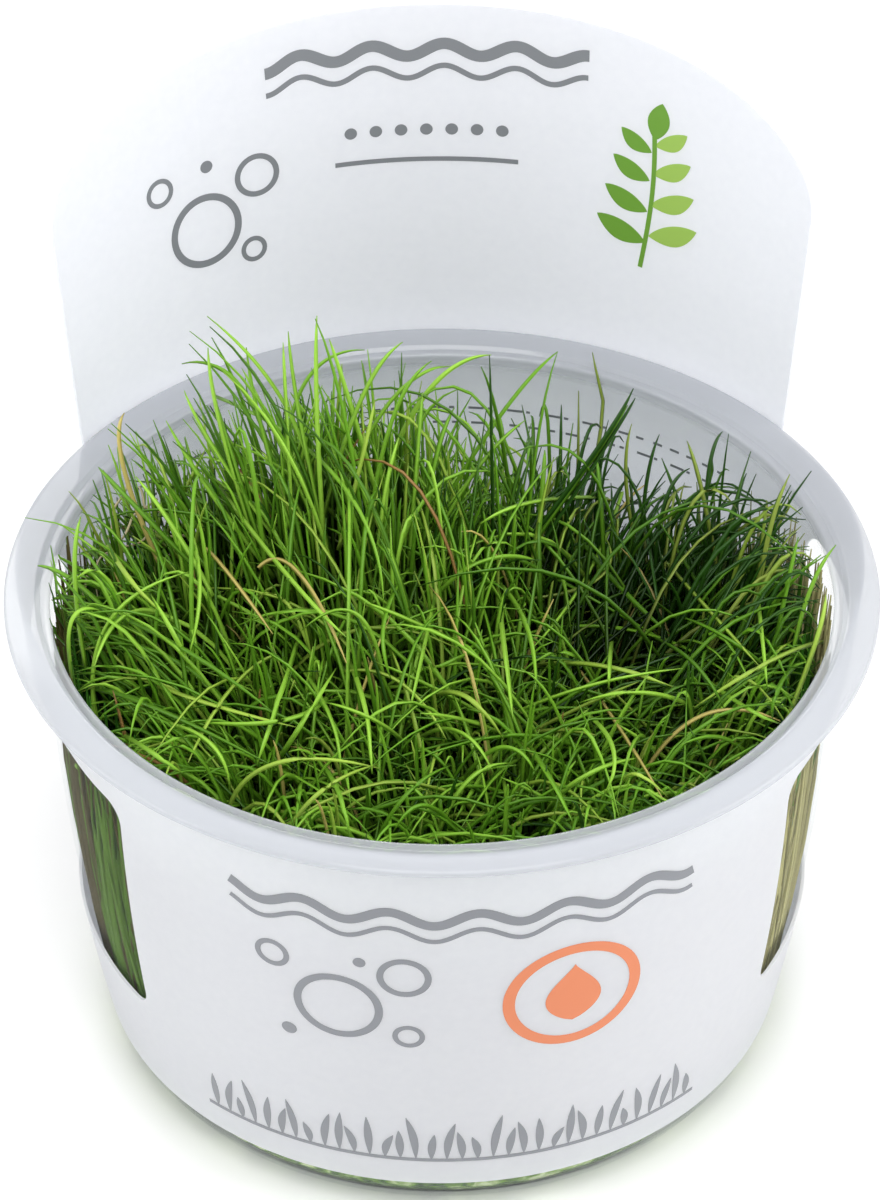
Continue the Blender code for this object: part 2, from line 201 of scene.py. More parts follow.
plastic = {
    "clear": (0.98, 0.987, 0.987), "milk": (0.63, 0.645, 0.69), "glow": 0.45,
    "wallHaze": (0.0525, 0.0570, 0.004, 0.06), "rimHaze": (0.0592, 0.0604, 0.0, 0.46),
    "glossFacing": (0.0495, 0.0555, 0.005, 0.035), "glossGrazing": 0.06, "glossPower": 4.0,
    "roughness": 0.07, "waveScale": 55.0, "waveStrength": 0.03,
}


def tubPlastic():
    # moulded plastic: clear where it is filled, milky above that and at the rim, with a gloss over it all
    p = plastic
    material, nodes, links, shader = newMaterial("tubPlastic", p["milk"], 0.5)
    place = nodes.new("ShaderNodeTexCoord")
    height = nodes.new("ShaderNodeSeparateXYZ")
    links.new(place.outputs["Object"], height.inputs["Vector"])
    levels = {}
    for name in ("wallHaze", "rimHaze", "glossFacing"):
        level = nodes.new("ShaderNodeMapRange")
        for socket, value in zip(("From Min", "From Max", "To Min", "To Max"), p[name]):
            level.inputs[socket].default_value = value
        links.new(height.outputs["Z"], level.inputs["Value"])
        levels[name] = level.outputs["Result"]
    hazeShare = nodes.new("ShaderNodeMath")
    links.new(levels["wallHaze"], hazeShare.inputs[0])
    links.new(levels["rimHaze"], hazeShare.inputs[1])
    # share of gloss = facing share + grazing share x (1 - cos)^power
    grazing = nodes.new("ShaderNodeLayerWeight")
    steep = nodes.new("ShaderNodeMath")
    steep.operation = "POWER"
    steep.inputs[1].default_value = p["glossPower"]
    share = nodes.new("ShaderNodeMath")
    share.operation = "MULTIPLY_ADD"
    share.inputs[1].default_value = p["glossGrazing"]
    links.new(grazing.outputs["Facing"], steep.inputs[0])
    links.new(steep.outputs["Value"], share.inputs[0])
    links.new(levels["glossFacing"], share.inputs[2])
    clear = nodes.new("ShaderNodeBsdfTransparent")
    clear.inputs["Color"].default_value = (*p["clear"], 1.0)
    glow = nodes.new("ShaderNodeBsdfTranslucent")
    glow.inputs["Color"].default_value = (*p["milk"], 1.0)
    wave = nodes.new("ShaderNodeTexNoise")
    wave.inputs["Scale"].default_value = p["waveScale"]
    ripple = nodes.new("ShaderNodeBump")
    ripple.inputs["Strength"].default_value = p["waveStrength"]
    ripple.inputs["Distance"].default_value = 0.002
    links.new(place.outputs["Object"], wave.inputs["Vector"])
    links.new(wave.outputs["Fac"], ripple.inputs["Height"])
    shine = nodes.new("ShaderNodeBsdfGlossy")
    shine.inputs["Roughness"].default_value = p["roughness"]
    links.new(ripple.outputs["Normal"], shine.inputs["Normal"])
    milk = blend(nodes, links, shader, glow, p["glow"])
    body = blend(nodes, links, clear, milk, hazeShare.outputs["Value"])
    surface = blend(nodes, links, body, shine, share.outputs["Value"])
    links.new(surface.outputs[0], nodes["Material Output"].inputs["Surface"])
    return material


tub = meshObject("moulded_tub", *turned(tubProfile(), tubSize["segments"]), sharpAngle=50)
putOn(tub, "tub", tubPlastic(), "tub")
print("tub done")


# card sleeve: laid out as an angle from the back and a height, rolled round the tub

cardSize = {
    "bottom": 5.3, "top": 60.3, "card": 0.36, "gap": 0.14,
    "headerHalf": 55.0, "shoulder": 90.0, "headerTop": 105.0, "archPower": 2.35,
    "windows": ((65.0, 124.0), (-126.5, -65.0)), "windowBottom": 20.0, "windowTop": 52.0,
    "cornerAngle": 3.5, "corner": 2.6,
    "leanStart": 65.0, "leanEnd": 115.0, "radiusAtRim": 51.4, "slope": 0.1,
}


def cardRadius(angle, z):
    # middle of the card: wall + gap in front, blending to a straight lean that clears the flange behind
    c = cardSize
    off = c["gap"] + c["card"] / 2
    tight = wallRadius(z) + off
    foot = wallRadius(c["bottom"]) + off
    rim = tubSize["rimHeight"]
    below = foot + (c["radiusAtRim"] - foot) * (z - c["bottom"]) / (rim - c["bottom"])
    above = c["radiusAtRim"] + c["slope"] * (z - rim)
    leaning = np.where(z < rim, below, above)
    front = 180.0 - np.abs(angle)
    leanShare = smoothStep((front - c["leanStart"]) / (c["leanEnd"] - c["leanStart"]))
    return tight + (leaning - tight) * leanShare


def onCard(angle, z, lift=0.0):
    # a point of the rolled card: x = R sin a, y = R cos a, lifted outwards
    radius = cardRadius(angle, z) + lift
    turn = np.radians(angle)
    return np.stack([radius * np.sin(turn), radius * np.cos(turn), z + 0.0 * radius], -1)


def cardEdges(angle):
    # heights of a column's four edges: bottom, window sill, window head, band top, header top
    c = cardSize
    sill = np.full(len(angle), c["windowBottom"] + c["corner"])
    head = np.full(len(angle), c["windowTop"] - c["corner"])
    inside = np.zeros(len(angle), bool)
    for low, high in c["windows"]:
        within = (angle >= low - 1e-6) & (angle <= high + 1e-6)
        depth = np.clip(np.minimum(angle - low, high - angle) / c["cornerAngle"], 0.0, 1.0)
        drop = c["corner"] * np.sqrt(1.0 - (1.0 - depth) ** 2)
        sill = np.where(within, c["windowBottom"] + c["corner"] - drop, sill)
        head = np.where(within, c["windowTop"] - c["corner"] + drop, head)
        inside |= within
    across = np.clip(np.abs(angle) / c["headerHalf"], 0.0, 1.0)
    arch = c["shoulder"] + (c["headerTop"] - c["shoulder"]) * np.sqrt(1.0 - across ** c["archPower"])
    return sill, head, arch, inside


def cardMesh():
    c = cardSize
    quarter = np.linspace(0.0, np.pi / 2, 9)
    angles = [np.arange(-180.0, 180.0, 2.5), c["headerHalf"] * np.sin(np.linspace(-np.pi / 2, np.pi / 2, 61))]
    for low, high in c["windows"]:
        angles += [low + c["cornerAngle"] * (1.0 - np.cos(quarter)), high - c["cornerAngle"] * (1.0 - np.cos(quarter))]
    angles = np.unique(np.round(np.concatenate(angles), 3))
    keep = np.concatenate([[True], np.diff(angles) > 0.02])
    angles = angles[keep]
    sill, head, arch, inside = cardEdges(angles)
    parts = [(np.full(len(angles), c["bottom"]), sill, 8), (sill, head, 14), (head, np.full(len(angles), c["top"]), 6),
             (np.full(len(angles), c["top"]), arch, 22)]
    heights, kinds = [], []
    for kind, (low, high, rows) in enumerate(parts):
        share = np.linspace(0.0, 1.0, rows + 1)[(1 if kind else 0):, None]
        heights.append(low + (high - low) * share)
        kinds += [kind] * rows
    z = np.concatenate(heights)
    kinds = np.array(kinds)[:, None]
    verts = onCard(np.broadcast_to(angles, z.shape), z)
    faces = gridFaces(*z.shape, closed=True).reshape(len(kinds), len(angles), 4)
    following = np.roll(np.arange(len(angles)), -1)
    window = inside & inside[following] & (np.sign(angles) == np.sign(angles[following]))
    header = (np.abs(angles) <= c["headerHalf"] + 1e-6) & (np.abs(angles[following]) <= c["headerHalf"] + 1e-6)
    wanted = ~((kinds == 1) & window) & ~((kinds == 3) & ~header)
    faces = faces[wanted]
    used, faces = np.unique(faces, return_inverse=True)
    return verts.reshape(-1, 3)[used], faces.reshape(-1, 4)[:, ::-1]


def solidified(piece, thickness, offset, sharpAngle=40):
    # gives an open sheet its thickness and keeps the result as the piece's mesh
    modifier = piece.modifiers.new("thickness", "SOLIDIFY")
    modifier.thickness = thickness * mm
    modifier.offset = offset
    modifier.use_even_offset = True
    ready = bpy.data.meshes.new_from_object(piece.evaluated_get(bpy.context.evaluated_depsgraph_get()))
    piece.modifiers.clear()
    piece.data = ready
    ready.shade_smooth()
    ready.set_sharp_from_angle(angle=math.radians(sharpAngle))
    return piece


def whiteCard():
    # coated white card: a soft gloss, the faintest mottle and waviness
    material, nodes, links, shader = newMaterial("coatedCard", (0.90, 0.91, 0.94), 0.42)
    place = nodes.new("ShaderNodeTexCoord")
    mottle = nodes.new("ShaderNodeTexNoise")
    mottle.inputs["Scale"].default_value = 900.0
    mottle.inputs["Detail"].default_value = 3.0
    links.new(place.outputs["Object"], mottle.inputs["Vector"])
    tint = nodes.new("ShaderNodeMix")
    tint.data_type = "RGBA"
    tint.inputs["A"].default_value = (0.870, 0.880, 0.915, 1.0)
    tint.inputs["B"].default_value = (0.920, 0.928, 0.955, 1.0)
    links.new(mottle.outputs["Fac"], tint.inputs["Factor"])
    links.new(tint.outputs["Result"], shader.inputs["Base Color"])
    bump = nodes.new("ShaderNodeBump")
    bump.inputs["Strength"].default_value = 0.05
    bump.inputs["Distance"].default_value = 0.0001
    links.new(mottle.outputs["Fac"], bump.inputs["Height"])
    links.new(bump.outputs["Normal"], shader.inputs["Normal"])
    through = nodes.new("ShaderNodeBsdfTranslucent")
    links.new(tint.outputs["Result"], through.inputs["Color"])
    links.new(blend(nodes, links, shader, through, 0.48).outputs[0], nodes["Material Output"].inputs["Surface"])
    return material


cardVerts, cardQuads = cardMesh()
sleeve = solidified(meshObject("printed_sleeve", cardVerts, [cardQuads]), cardSize["card"], 0.0)
putOn(sleeve, "card", whiteCard(), "card_sleeve")
print("sleeve done")


# printed marks: plain waves, bubbles, leaves and a row of blades, each a film of ink that follows the card

ink = {
    "film": 0.04, "lift": 0.02, "frontRadius": 44.0, "headerRadius": 53.0,
    "grey": (0.205, 0.215, 0.235), "orange": (0.640, 0.190, 0.075), "green": (0.150, 0.330, 0.040),
    "palerGreen": (0.330, 0.520, 0.100), "roughness": 0.38,
}


def ribbon(path, width):
    # a band along a path: each station gives two points, half a width to either side of it
    path = np.asarray(path, float)
    along = np.gradient(path, axis=0)
    along /= np.linalg.norm(along, axis=1, keepdims=True)
    side = np.stack([-along[:, 1], along[:, 0]], -1) * np.asarray(width).reshape(-1, 1) / 2
    return np.stack([path + side, path - side])


def wave(left, right, height, rise, length, width):
    # height + rise x sin(2 pi u / length)
    u = np.linspace(left, right, int((right - left) * 3))
    return ribbon(np.stack([u, height + rise * np.sin(2 * np.pi * u / length)], -1), width)


def hoop(centre, radius, width):
    turn = np.linspace(0.0, 2.0 * np.pi, 65)
    around = np.stack([np.cos(turn), np.sin(turn)], -1)
    return np.stack([centre + around * (radius - width / 2), centre + around * (radius + width / 2)])


def dot(centre, radius):
    # a square grid pressed into a disc: x = s sqrt(1 - t^2 / 2), y = t sqrt(1 - s^2 / 2)
    s, t = np.meshgrid(np.linspace(-1.0, 1.0, 9), np.linspace(-1.0, 1.0, 9))
    return centre + radius * np.stack([s * np.sqrt(1 - t * t / 2), t * np.sqrt(1 - s * s / 2)], -1)


def leafShape(foot, tip, width, bow=0.0):
    # a lens between two points: half width = width / 2 x sin(pi t)^0.8, its middle bowed sideways
    foot, tip = np.array(foot, float), np.array(tip, float)
    share = np.linspace(0.0, 1.0, 17)[:, None]
    across = np.array([foot[1] - tip[1], tip[0] - foot[0]]) / np.linalg.norm(tip - foot)
    middle = foot + (tip - foot) * share + across * bow * np.sin(np.pi * share)
    half = np.maximum(width / 2 * np.sin(np.pi * share) ** 0.8, 0.02) * across
    return np.stack([middle + half * k for k in (-1.0, -0.5, 0.0, 0.5, 1.0)])


def printOn(name, colour, shapes, header=False):
    # u is measured round the card and v up it, in millimetres: angle = u / radius
    verts, faces, count = [], [], 0
    for shape in shapes:
        u, v = shape[..., 0], shape[..., 1]
        if header:
            angle, lift = np.degrees(u / ink["headerRadius"]), -cardSize["card"] / 2 - ink["lift"]
        else:
            angle, lift = 180.0 - np.degrees(u / ink["frontRadius"]), cardSize["card"] / 2 + ink["lift"]
        verts.append(onCard(angle, v, lift).reshape(-1, 3))
        faces.append(gridFaces(*u.shape, start=count))
        count += u.size
    piece = solidified(meshObject(name, np.concatenate(verts), faces), ink["film"], 0.0)
    material = newMaterial(name + "_ink", ink[colour], ink["roughness"])[0]
    putOn(piece, "card", material)


def drop(centre, radius, tall):
    # a water drop: half width = radius x sin(pi t)^0.8 x (1 - t)^0.35, t from foot to point
    t = np.linspace(0.0, 1.0, 25)
    half = np.maximum(1.35 * radius * np.sin(np.pi * t) ** 0.75 * (1 - t) ** 0.45, 0.02)
    v = centre[1] - tall * 0.42 + tall * t
    return np.stack([np.stack([centre[0] + half * k, v], -1) for k in (-1.0, -0.6, -0.2, 0.2, 0.6, 1.0)])


bladeRow = []
for number, u in enumerate(np.linspace(-31.0, 31.0, 34)):
    tall = 5.2 + 1.7 * math.sin(number * 2.4) + 0.7 * math.sin(number * 5.1)
    leaning = 1.1 * math.sin(number * 1.7)
    bladeRow.append(leafShape((u, 10.0), (u + leaning, 10.6 + tall), 1.0, 0.3 * leaning))
printOn("print_front_waves", "grey", [
    wave(-25.0, 27.0, 51.0, 0.9, 9.5, 1.25), wave(-25.0, 27.0, 48.6, 0.9, 9.5, 0.6),
])
printOn("print_front_bubbles", "grey", [
    hoop((-13.0, 36.0), 4.6, 0.9), hoop((-5.6, 41.8), 2.6, 0.75), hoop((-20.3, 42.2), 1.7, 0.65),
    hoop((-5.2, 32.2), 1.5, 0.6), dot((-18.9, 30.4), 0.9), dot((-10.4, 43.6), 0.7),
])
printOn("print_front_drop", "orange", [hoop((13.0, 37.0), 7.3, 1.35), drop((13.0, 36.6), 3.1, 9.0)])
printOn("print_front_blades", "grey", [ribbon(np.stack([np.linspace(-32.5, 32.5, 160), np.full(160, 9.9)], -1), 0.55), *bladeRow])
printOn("print_header_waves", "grey", [
    wave(-19.0, 19.0, 99.2, 0.8, 8.4, 1.5), wave(-19.0, 19.0, 96.3, 0.8, 8.4, 0.7),
], header=True)
printOn("print_header_bubbles", "grey", [
    hoop((-28.0, 80.0), 4.4, 0.9), hoop((-20.8, 85.4), 2.5, 0.7), hoop((-33.8, 87.2), 1.6, 0.6),
    hoop((-21.8, 75.6), 1.4, 0.6), dot((-27.2, 88.4), 0.8),
], header=True)
printOn("print_header_dots", "grey", [dot((u, 88.6), 0.75) for u in np.linspace(-9.0, 9.0, 7)]
        + [ribbon(np.stack([np.linspace(-11.0, 11.0, 60), np.full(60, 84.6)], -1), 0.6)], header=True)
sprig = [ribbon(np.stack([27.0 + 0.9 * np.sin(np.linspace(0.0, 2.4, 40)), np.linspace(73.5, 91.5, 40)], -1), 0.6)]
sprig.append(leafShape((27.7, 91.0), (28.3, 96.0), 2.8))
youngLeaves = []
for level, v in enumerate((77.0, 81.2, 85.4, 89.2)):
    reach = 6.4 - 0.8 * level
    sprig.append(leafShape((27.4, v), (27.4 - reach, v + 2.4), 2.7 - 0.2 * level, 0.4))
    youngLeaves.append(leafShape((27.8, v + 1.0), (27.8 + reach, v + 3.6), 2.7 - 0.2 * level, -0.4))
printOn("print_header_leaves", "green", sprig, header=True)
printOn("print_header_young_leaves", "palerGreen", youngLeaves, header=True)
printOn("print_inside_dashes", "grey", [
    ribbon(np.stack([np.linspace(u, u + 1.3 + 0.8 * math.sin(u * 3.7), 4), np.full(4, z)], -1), 0.3)
    for z, first in ((50.6, -44.0), (48.6, -41.0)) for u in np.arange(first, -first, 2.6)
], header=True)
print("prints done")


# gel bed

gelSize = {"top": 9.0, "footHeight": 3.4, "bottom": 0.5, "clearance": 0.55}


def gelProfile():
    g = gelSize
    heights = np.linspace(g["footHeight"], g["top"] - 0.5, 8)
    side = [(wallRadius(z) - g["clearance"], z) for z in heights[::-1]]
    edge = wallRadius(g["top"]) - g["clearance"]
    return [
        (0.0, g["top"]), (12.0, g["top"]), (24.0, g["top"]), (34.0, g["top"]),
        (edge - 0.8, g["top"]), (edge - 0.2, g["top"] - 0.12),
        *side,
        (tubSize["chamferRadius"] - 0.65, tubSize["chamferHeight"] + 0.4),
        (tubSize["footRadius"] + 0.7, g["bottom"] + 0.4),
        (tubSize["footRadius"] - 0.1, g["bottom"]),
        (20.0, g["bottom"]),
        (0.0, g["bottom"]),
    ]


def gelMaterial():
    # olive nutrient gel, full of pale roots that run down through it
    material, nodes, links, shader = newMaterial("nutrientGel", (0.10, 0.14, 0.03), 0.18)
    place = nodes.new("ShaderNodeTexCoord")
    stretch = nodes.new("ShaderNodeMapping")
    stretch.inputs["Scale"].default_value = (330.0, 330.0, 260.0)
    roots = nodes.new("ShaderNodeTexNoise")
    roots.inputs["Scale"].default_value = 1.0
    roots.inputs["Detail"].default_value = 4.0
    roots.inputs["Distortion"].default_value = 1.2
    ramp = nodes.new("ShaderNodeValToRGB")
    ramp.color_ramp.elements[0].position = 0.38
    ramp.color_ramp.elements[0].color = (0.035, 0.095, 0.012, 1.0)
    ramp.color_ramp.elements[1].position = 0.66
    ramp.color_ramp.elements[1].color = (0.560, 0.640, 0.360, 1.0)
    middle = ramp.color_ramp.elements.new(0.53)
    middle.color = (0.150, 0.260, 0.045, 1.0)
    links.new(place.outputs["Object"], stretch.inputs["Vector"])
    links.new(stretch.outputs["Vector"], roots.inputs["Vector"])
    links.new(roots.outputs["Fac"], ramp.inputs["Fac"])
    links.new(ramp.outputs["Color"], shader.inputs["Base Color"])
    return material


gel = meshObject("gel_bed", *turned(gelProfile(), 160), sharpAngle=50)
putOn(gel, "gel", gelMaterial(), "growth_gel")
print("gel done")


# grass: each plantlet's blades follow the locks of its solid

grass = {
    "seed": 41,
    "steps": 12,
    "chosenSteps": 22,
    "halfWidth": 0.28,
    "bundle": {"root": 0.9, "bend": 0.8, "tip": 1.2, "shortest": 0.74},
    "stray": {"root": 1.6, "bend": 3.4, "tip": 8.0, "shortest": 0.6},
    "crowdBehind": (4, 2), "crowdInFront": (1, 3), "frontEdge": 2.0,
    "wallClear": 0.55,
    "highest": 90.8,
}

wands = {
    "count": 1750, "bed": 35.0, "lean": (6.0, 38.0), "fanCentre": (-3.0, -14.0), "fanShare": 0.4, "archShare": 0.8,
    "fountain": 150, "fountainFoot": (-5.0, -7.0), "fountainSpread": 5.5,
}

# plantlets that lie open near the top of the mat: place of the crown, number of blades, their reach
stars = [
    ((-40.0, -0.9, 43.0), 16, 17.0), ((7.8, -11.6, 48.0), 18, 20.0), ((37.0, 5.7, 41.0), 18, 21.0),
    ((-13.1, -2.5, 45.0), 12, 18.0), ((23.0, 10.0, 35.0), 14, 22.0), ((-23.0, -20.0, 44.0), 16, 18.0),
    ((18.0, -26.0, 45.0), 16, 18.0), ((-32.0, -12.0, 45.0), 12, 16.0), ((29.0, -14.0, 42.0), 14, 18.0),
    ((-35.0, 8.0, 52.0), 20, 16.0), ((-33.0, 16.0, 54.0), 14, 14.0),
]

# tall blades that rise clear of the mat: where each leaves it, its middle and its tip
spires = [
    ((-15.3, 9, 73.3), (-19.3, 11.2, 82.6), (-26.3, 13.6, 90.3)), ((-13.9, 8.1, 71.6), (-14.1, 10.3, 83.5), (-13.8, 12.7, 90.7)),
    ((-15, 8.5, 72.1), (-16.5, 10.7, 81.8), (-17.1, 13.1, 88.3)), ((-17.2, 7.8, 70.4), (-17.5, 10, 80.9), (-17.7, 12.4, 87.3)),
    ((-8, 11, 70.1), (-10.7, 13.2, 80.3), (-12.4, 15.6, 85.3)), ((-17.2, 14.3, 74), (-13.9, 16.5, 80.7), (-8.3, 18.9, 81.3)),
    ((-11.3, 11.1, 72.3), (-7.7, 13.3, 81.2), (-4, 15.7, 84.6)), ((-7.4, 9.8, 68.6), (-4.6, 12, 78.7), (-0.7, 14.4, 82.8)),
    ((-8.2, 14, 72.4), (-3.5, 16.2, 78.3), (1.6, 18.6, 78.9)), ((-19.6, 14.1, 70.4), (-23.6, 16.3, 79.5), (-29.5, 18.7, 80)),
    ((-23.3, 8.7, 69.1), (-25.6, 10.9, 79.7), (-26.3, 13.3, 86.1)), ((-23, 8.7, 69.1), (-27.2, 10.9, 76.3), (-29.2, 13.3, 80.1)),
    ((-24.3, 7.3, 65.7), (-28.5, 9.5, 72.1), (-31.4, 11.9, 76.9)), ((-35.5, 8.7, 67.9), (-36.9, 10.9, 74.3), (-36.2, 13.3, 77.1)),
    ((-32.4, 2.4, 68.2), (-36.9, 4.6, 72.7), (-39.2, 7, 74.1)), ((-16.9, 8.8, 71.2), (-20.2, 11, 79.1), (-22.5, 13.4, 83)),
    ((-3, 9, 66.8), (-2.3, 11.2, 74.3), (-1.8, 13.6, 79)), ((-9.9, 8.5, 68.9), (-8.3, 10.7, 74.8), (-7.3, 13.1, 78.3)),
    ((-41.9, -5.5, 63.9), (-41.9, -3.3, 69.8), (-41.1, -0.9, 73.1)), ((-39.5, -3.2, 62.3), (-43.5, -1, 64.9), (-46.6, 1.4, 64.3)),
    ((-22.4, 8.2, 68), (-24.5, 10.4, 75.5), (-26, 12.8, 80.2)), ((-18.7, 8.2, 70.1), (-20.9, 10.4, 79.9), (-21.9, 12.8, 86.4)),
    ((-6.9, 6, 66.1), (-5.9, 8.2, 71.3), (-4.6, 10.6, 74.8)), ((-29.1, -0.3, 67.1), (-32, 1.9, 71.5), (-34.9, 4.3, 74.7)),
    ((-2.5, 19.3, 72.2), (1.8, 21.5, 76.5), (6.6, 23.9, 76.6)), ((3, 17.6, 64), (9.2, 19.8, 73.4), (14.3, 22.2, 78.1)),
    ((12.5, 15.4, 58.4), (19.3, 17.6, 68.2), (23.1, 20, 74.2)), ((13.2, 15.6, 58.3), (19, 17.8, 66.9), (22.5, 20.2, 71.6)),
    ((15, 15.8, 59.6), (20.6, 18, 68.6), (23.4, 20.4, 72.5)), ((-1, 11.5, 66.4), (0.3, 13.7, 71.7), (2, 16.1, 74.8)),
    ((2.5, 12.4, 64.9), (6.4, 14.6, 69.7), (10.3, 17, 72.1)), ((8.4, 13, 61.9), (9.8, 15.2, 67.2), (11.3, 17.6, 69.6)),
    ((24, 23.5, 49.4), (23, 25.7, 57.4), (23.7, 28.1, 63)), ((24.9, 23, 49), (25.5, 25.2, 56.8), (27, 27.6, 61.7)),
    ((31.7, 15.8, 56.8), (32.2, 18, 64.5), (33.8, 20.4, 67.3)), ((32.1, 14, 58.2), (30.7, 16.2, 64.3), (29.5, 18.6, 67.4)),
    ((33, 28.2, 51.2), (34.3, 30.4, 55.5), (36.7, 32.8, 56.3)), ((36.9, 2.9, 54.1), (38.2, 5.1, 64.1), (40.5, 7.5, 70.6)),
    ((37, 2.9, 54.2), (38, 5.1, 63.3), (39.9, 7.5, 69.1)), ((38.6, -4.6, 56.2), (39.9, -2.4, 63), (41, -0, 67.2)),
    ((40.3, -6.7, 56.3), (42.3, -4.5, 63.8), (45.1, -2.1, 67.6)), ((40.2, -14.2, 56.2), (42.4, -12, 62.9), (43.3, -9.6, 66.3)),
    ((26.2, 18, 51.2), (27.5, 20.2, 58.2), (30.3, 22.6, 60.3)), ((12, 14.9, 58.1), (12.5, 17.1, 63.4), (12.8, 19.5, 65.8)),
    ((20, 20.4, 51.2), (19.6, 22.6, 57.4), (19.3, 25, 60.4)), ((34.6, 12.3, 53.9), (35.1, 14.5, 60.1), (36.5, 16.9, 63.7)),
    ((37.1, 6.4, 53.7), (37.8, 8.6, 59.8), (38.4, 11, 64.2)), ((31.1, 22.4, 48.5), (29.2, 24.6, 54), (27.3, 27, 58.6)),
]

